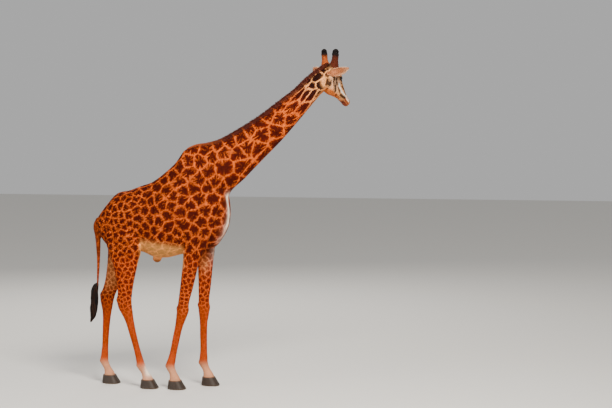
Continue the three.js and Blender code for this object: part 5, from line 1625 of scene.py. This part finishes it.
MANE_PIECES = (("mane_withers", 0.0, 0.34, "mane_lower"), ("mane_neck", 0.34, 0.67, "mane_middle"),
               ("mane_nape", 0.67, 1.0, "mane_upper"))
for name, start, end, node in MANE_PIECES:
    count = 4300
    share = MANE["from"] + (MANE["to"] - MANE["from"]) * mane_draw.uniform(start, end, count)
    place, along = at_crest(crest, share), unit(at_crest(crest_way, share))
    side = unit(np.stack([-along[:, 1], along[:, 0], np.zeros(count)], 1))
    out = unit(np.cross(along, side))
    offset = np.clip(mane_draw.normal(0, 0.48, count), -1, 1)
    clump = np.sin(share * 410) * 0.5 + np.sin(share * 173 + 1) * 0.5
    profile = np.minimum.reduce([0.1 + share * 4, 0.5 + share * 1.7, np.ones(count), 1.6 - share * 0.88])
    tall = MANE["height"] * profile * (1 - 0.42 * np.abs(offset) ** 1.6)
    tall *= mane_draw.uniform(0.72, 1.0, count) * (1 + 0.05 * clump)
    root = place + side * (offset * MANE["half"])[:, None] - out * (14 + 9 * offset**2)[:, None]
    lean = MANE["lean"] * mane_draw.uniform(0.7, 1.3, count) - 9 * clump
    steps = np.array([0, 0.3, 0.55, 0.82, 1])
    paths = root[:, None] + (steps * (tall + 14)[:, None])[..., None] * out[:, None]
    paths = paths - (steps**2 * (lean * tall / 68)[:, None])[..., None] * along[:, None]
    stray = offset * 5 + mane_draw.normal(0, 1.6, count)
    paths = paths + (steps**1.5 * stray[:, None])[..., None] * side[:, None]
    widths = np.tile([2.1, 1.8, 1.1], (count, 1)) * mane_draw.uniform(0.6, 1.2, (count, 1))
    mane, size = strand_object(name, paths, side, widths, widths * 0.6,
                               np.stack([spread(share), spread(offset)], 1))
    nearest = [hide_tree.find(spot)[1] for spot in root + side * (22 * np.sign(offset))[:, None]]
    base = patched_colour(nearest)
    base = blend(base, (MANE_TIP, 0.3 + 0.5 * smooth_step(0.55, 0.75, share)))
    orange = np.clip(smooth_step(0.30, 0.05, share), 0, 1)[:, None]
    top = MANE_TIP * (1 - orange * 0.8) + MANE_ORANGE * orange * 0.8
    tip = np.concatenate([[0], np.repeat([0.0, 0.22, 0.8], 3), [1]])[None, :, None]
    tints = base[:, None] * (1 - tip) + top[:, None] * tip
    tinted(mane, size, tints, mane_draw.uniform(0.1, 0.9, count))
    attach(mane, "root")
    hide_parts(node)

# ------------------------------------------------------------------ tail tuft
# Long coarse hair falls round the end of the dock, and gathers to a wisp at its tip.
TUFT = [  # x, z and half width down the tuft
    (-810, 1304, 20), (-836, 1255, 41), (-850, 1164, 48), (-854, 1039, 50), (-862, 913, 40),
    (-880, 850, 25), (-903, 797, 6),
]
tuft_draw = np.random.default_rng(19)
tuft_line = read_smoothly([(x, 0, z, half) for x, z, half in TUFT], np.arange(len(TUFT)), 8)
tuft_share = np.linspace(0, 1, len(tuft_line))
count = 3100
start = tuft_draw.uniform(0, 1, count) ** 1.2 * 0.5
end = np.clip(start + tuft_draw.uniform(0.3, 0.85, count), 0, 1)
angle = tuft_draw.uniform(0, 2 * pi, count)
steps = np.linspace(0, 1, 9)
share = start[:, None] + (end - start)[:, None] * steps
line = np.stack([np.interp(share, tuft_share, tuft_line[:, k]) for k in range(4)], 2)
swell, line = line[:, :, 3], line[:, :, :3]
away = swell * (tuft_draw.uniform(0.1, 1, count)[:, None] ** 0.6) * np.minimum(0.97, 0.3 + 2.6 * steps)
away = away * (1 - 0.25 * steps**3)
away *= 1 + 0.22 * np.sin(share * 17 + angle[:, None] * 2) * np.sin(angle[:, None] * 5 + 1)
away = np.minimum(away, swell)
lock_of = np.floor(angle * 5).astype(int) % 29
twist = angle[:, None] + 0.7 * np.sin(share * 7 + angle[:, None] * 3) * steps
paths = line + away[..., None] * np.stack([np.cos(twist), np.sin(twist), 0 * twist], 2)
sway = np.minimum(1, 2 * share) * (0.5 + steps) * (0.6 + 0.4 * np.sin(lock_of * 2.1))[:, None]
paths[..., 0] += 5 * sway * np.sin(share * 15 + (lock_of * 1.7)[:, None]) + 4 * steps
paths[..., 1] += 10 * sway * np.sin(share * 13 + (lock_of * 2.9 + 1)[:, None])
flats = np.stack([np.cos(angle), np.sin(angle), 0 * angle], 1)
widths = np.tile([1.3, 1.5, 1.5, 1.4, 1.2, 0.9, 0.6], (count, 1)) * tuft_draw.uniform(0.6, 1.3, (count, 1))
tuft, size = strand_object("tail_hair", paths, flats, widths, widths * 0.6,
                           np.stack([spread(angle), spread(start)], 1))
brown_hairs = 0.8 * (tuft_draw.uniform(0, 1, count) < 0.16)
tuft_tint = blend(np.tile(colour(16, 12, 11), (count, 1)), (colour(84, 48, 28), brown_hairs))
tinted(tuft, size, tuft_tint, tuft_draw.uniform(0, 1, count))
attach(tuft, "root")
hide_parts("tail_tuft")

# ------------------------------------------------------------------ floor
floor_mesh = bpy.data.meshes.new("floor")
floor_mesh.from_pydata([(-30, -30, 0), (30, -30, 0), (30, 30, 0), (-30, 30, 0)], [], [(0, 1, 2, 3)])
floor = bpy.data.objects.new("floor", floor_mesh)
bpy.context.scene.collection.objects.link(floor)
floor_material, tree, shader = new_material("floor", roughness=0.9, specular=0.2)
shader.inputs["Base Color"].default_value = (0.72, 0.70, 0.66, 1)
floor.data.materials.append(floor_material)
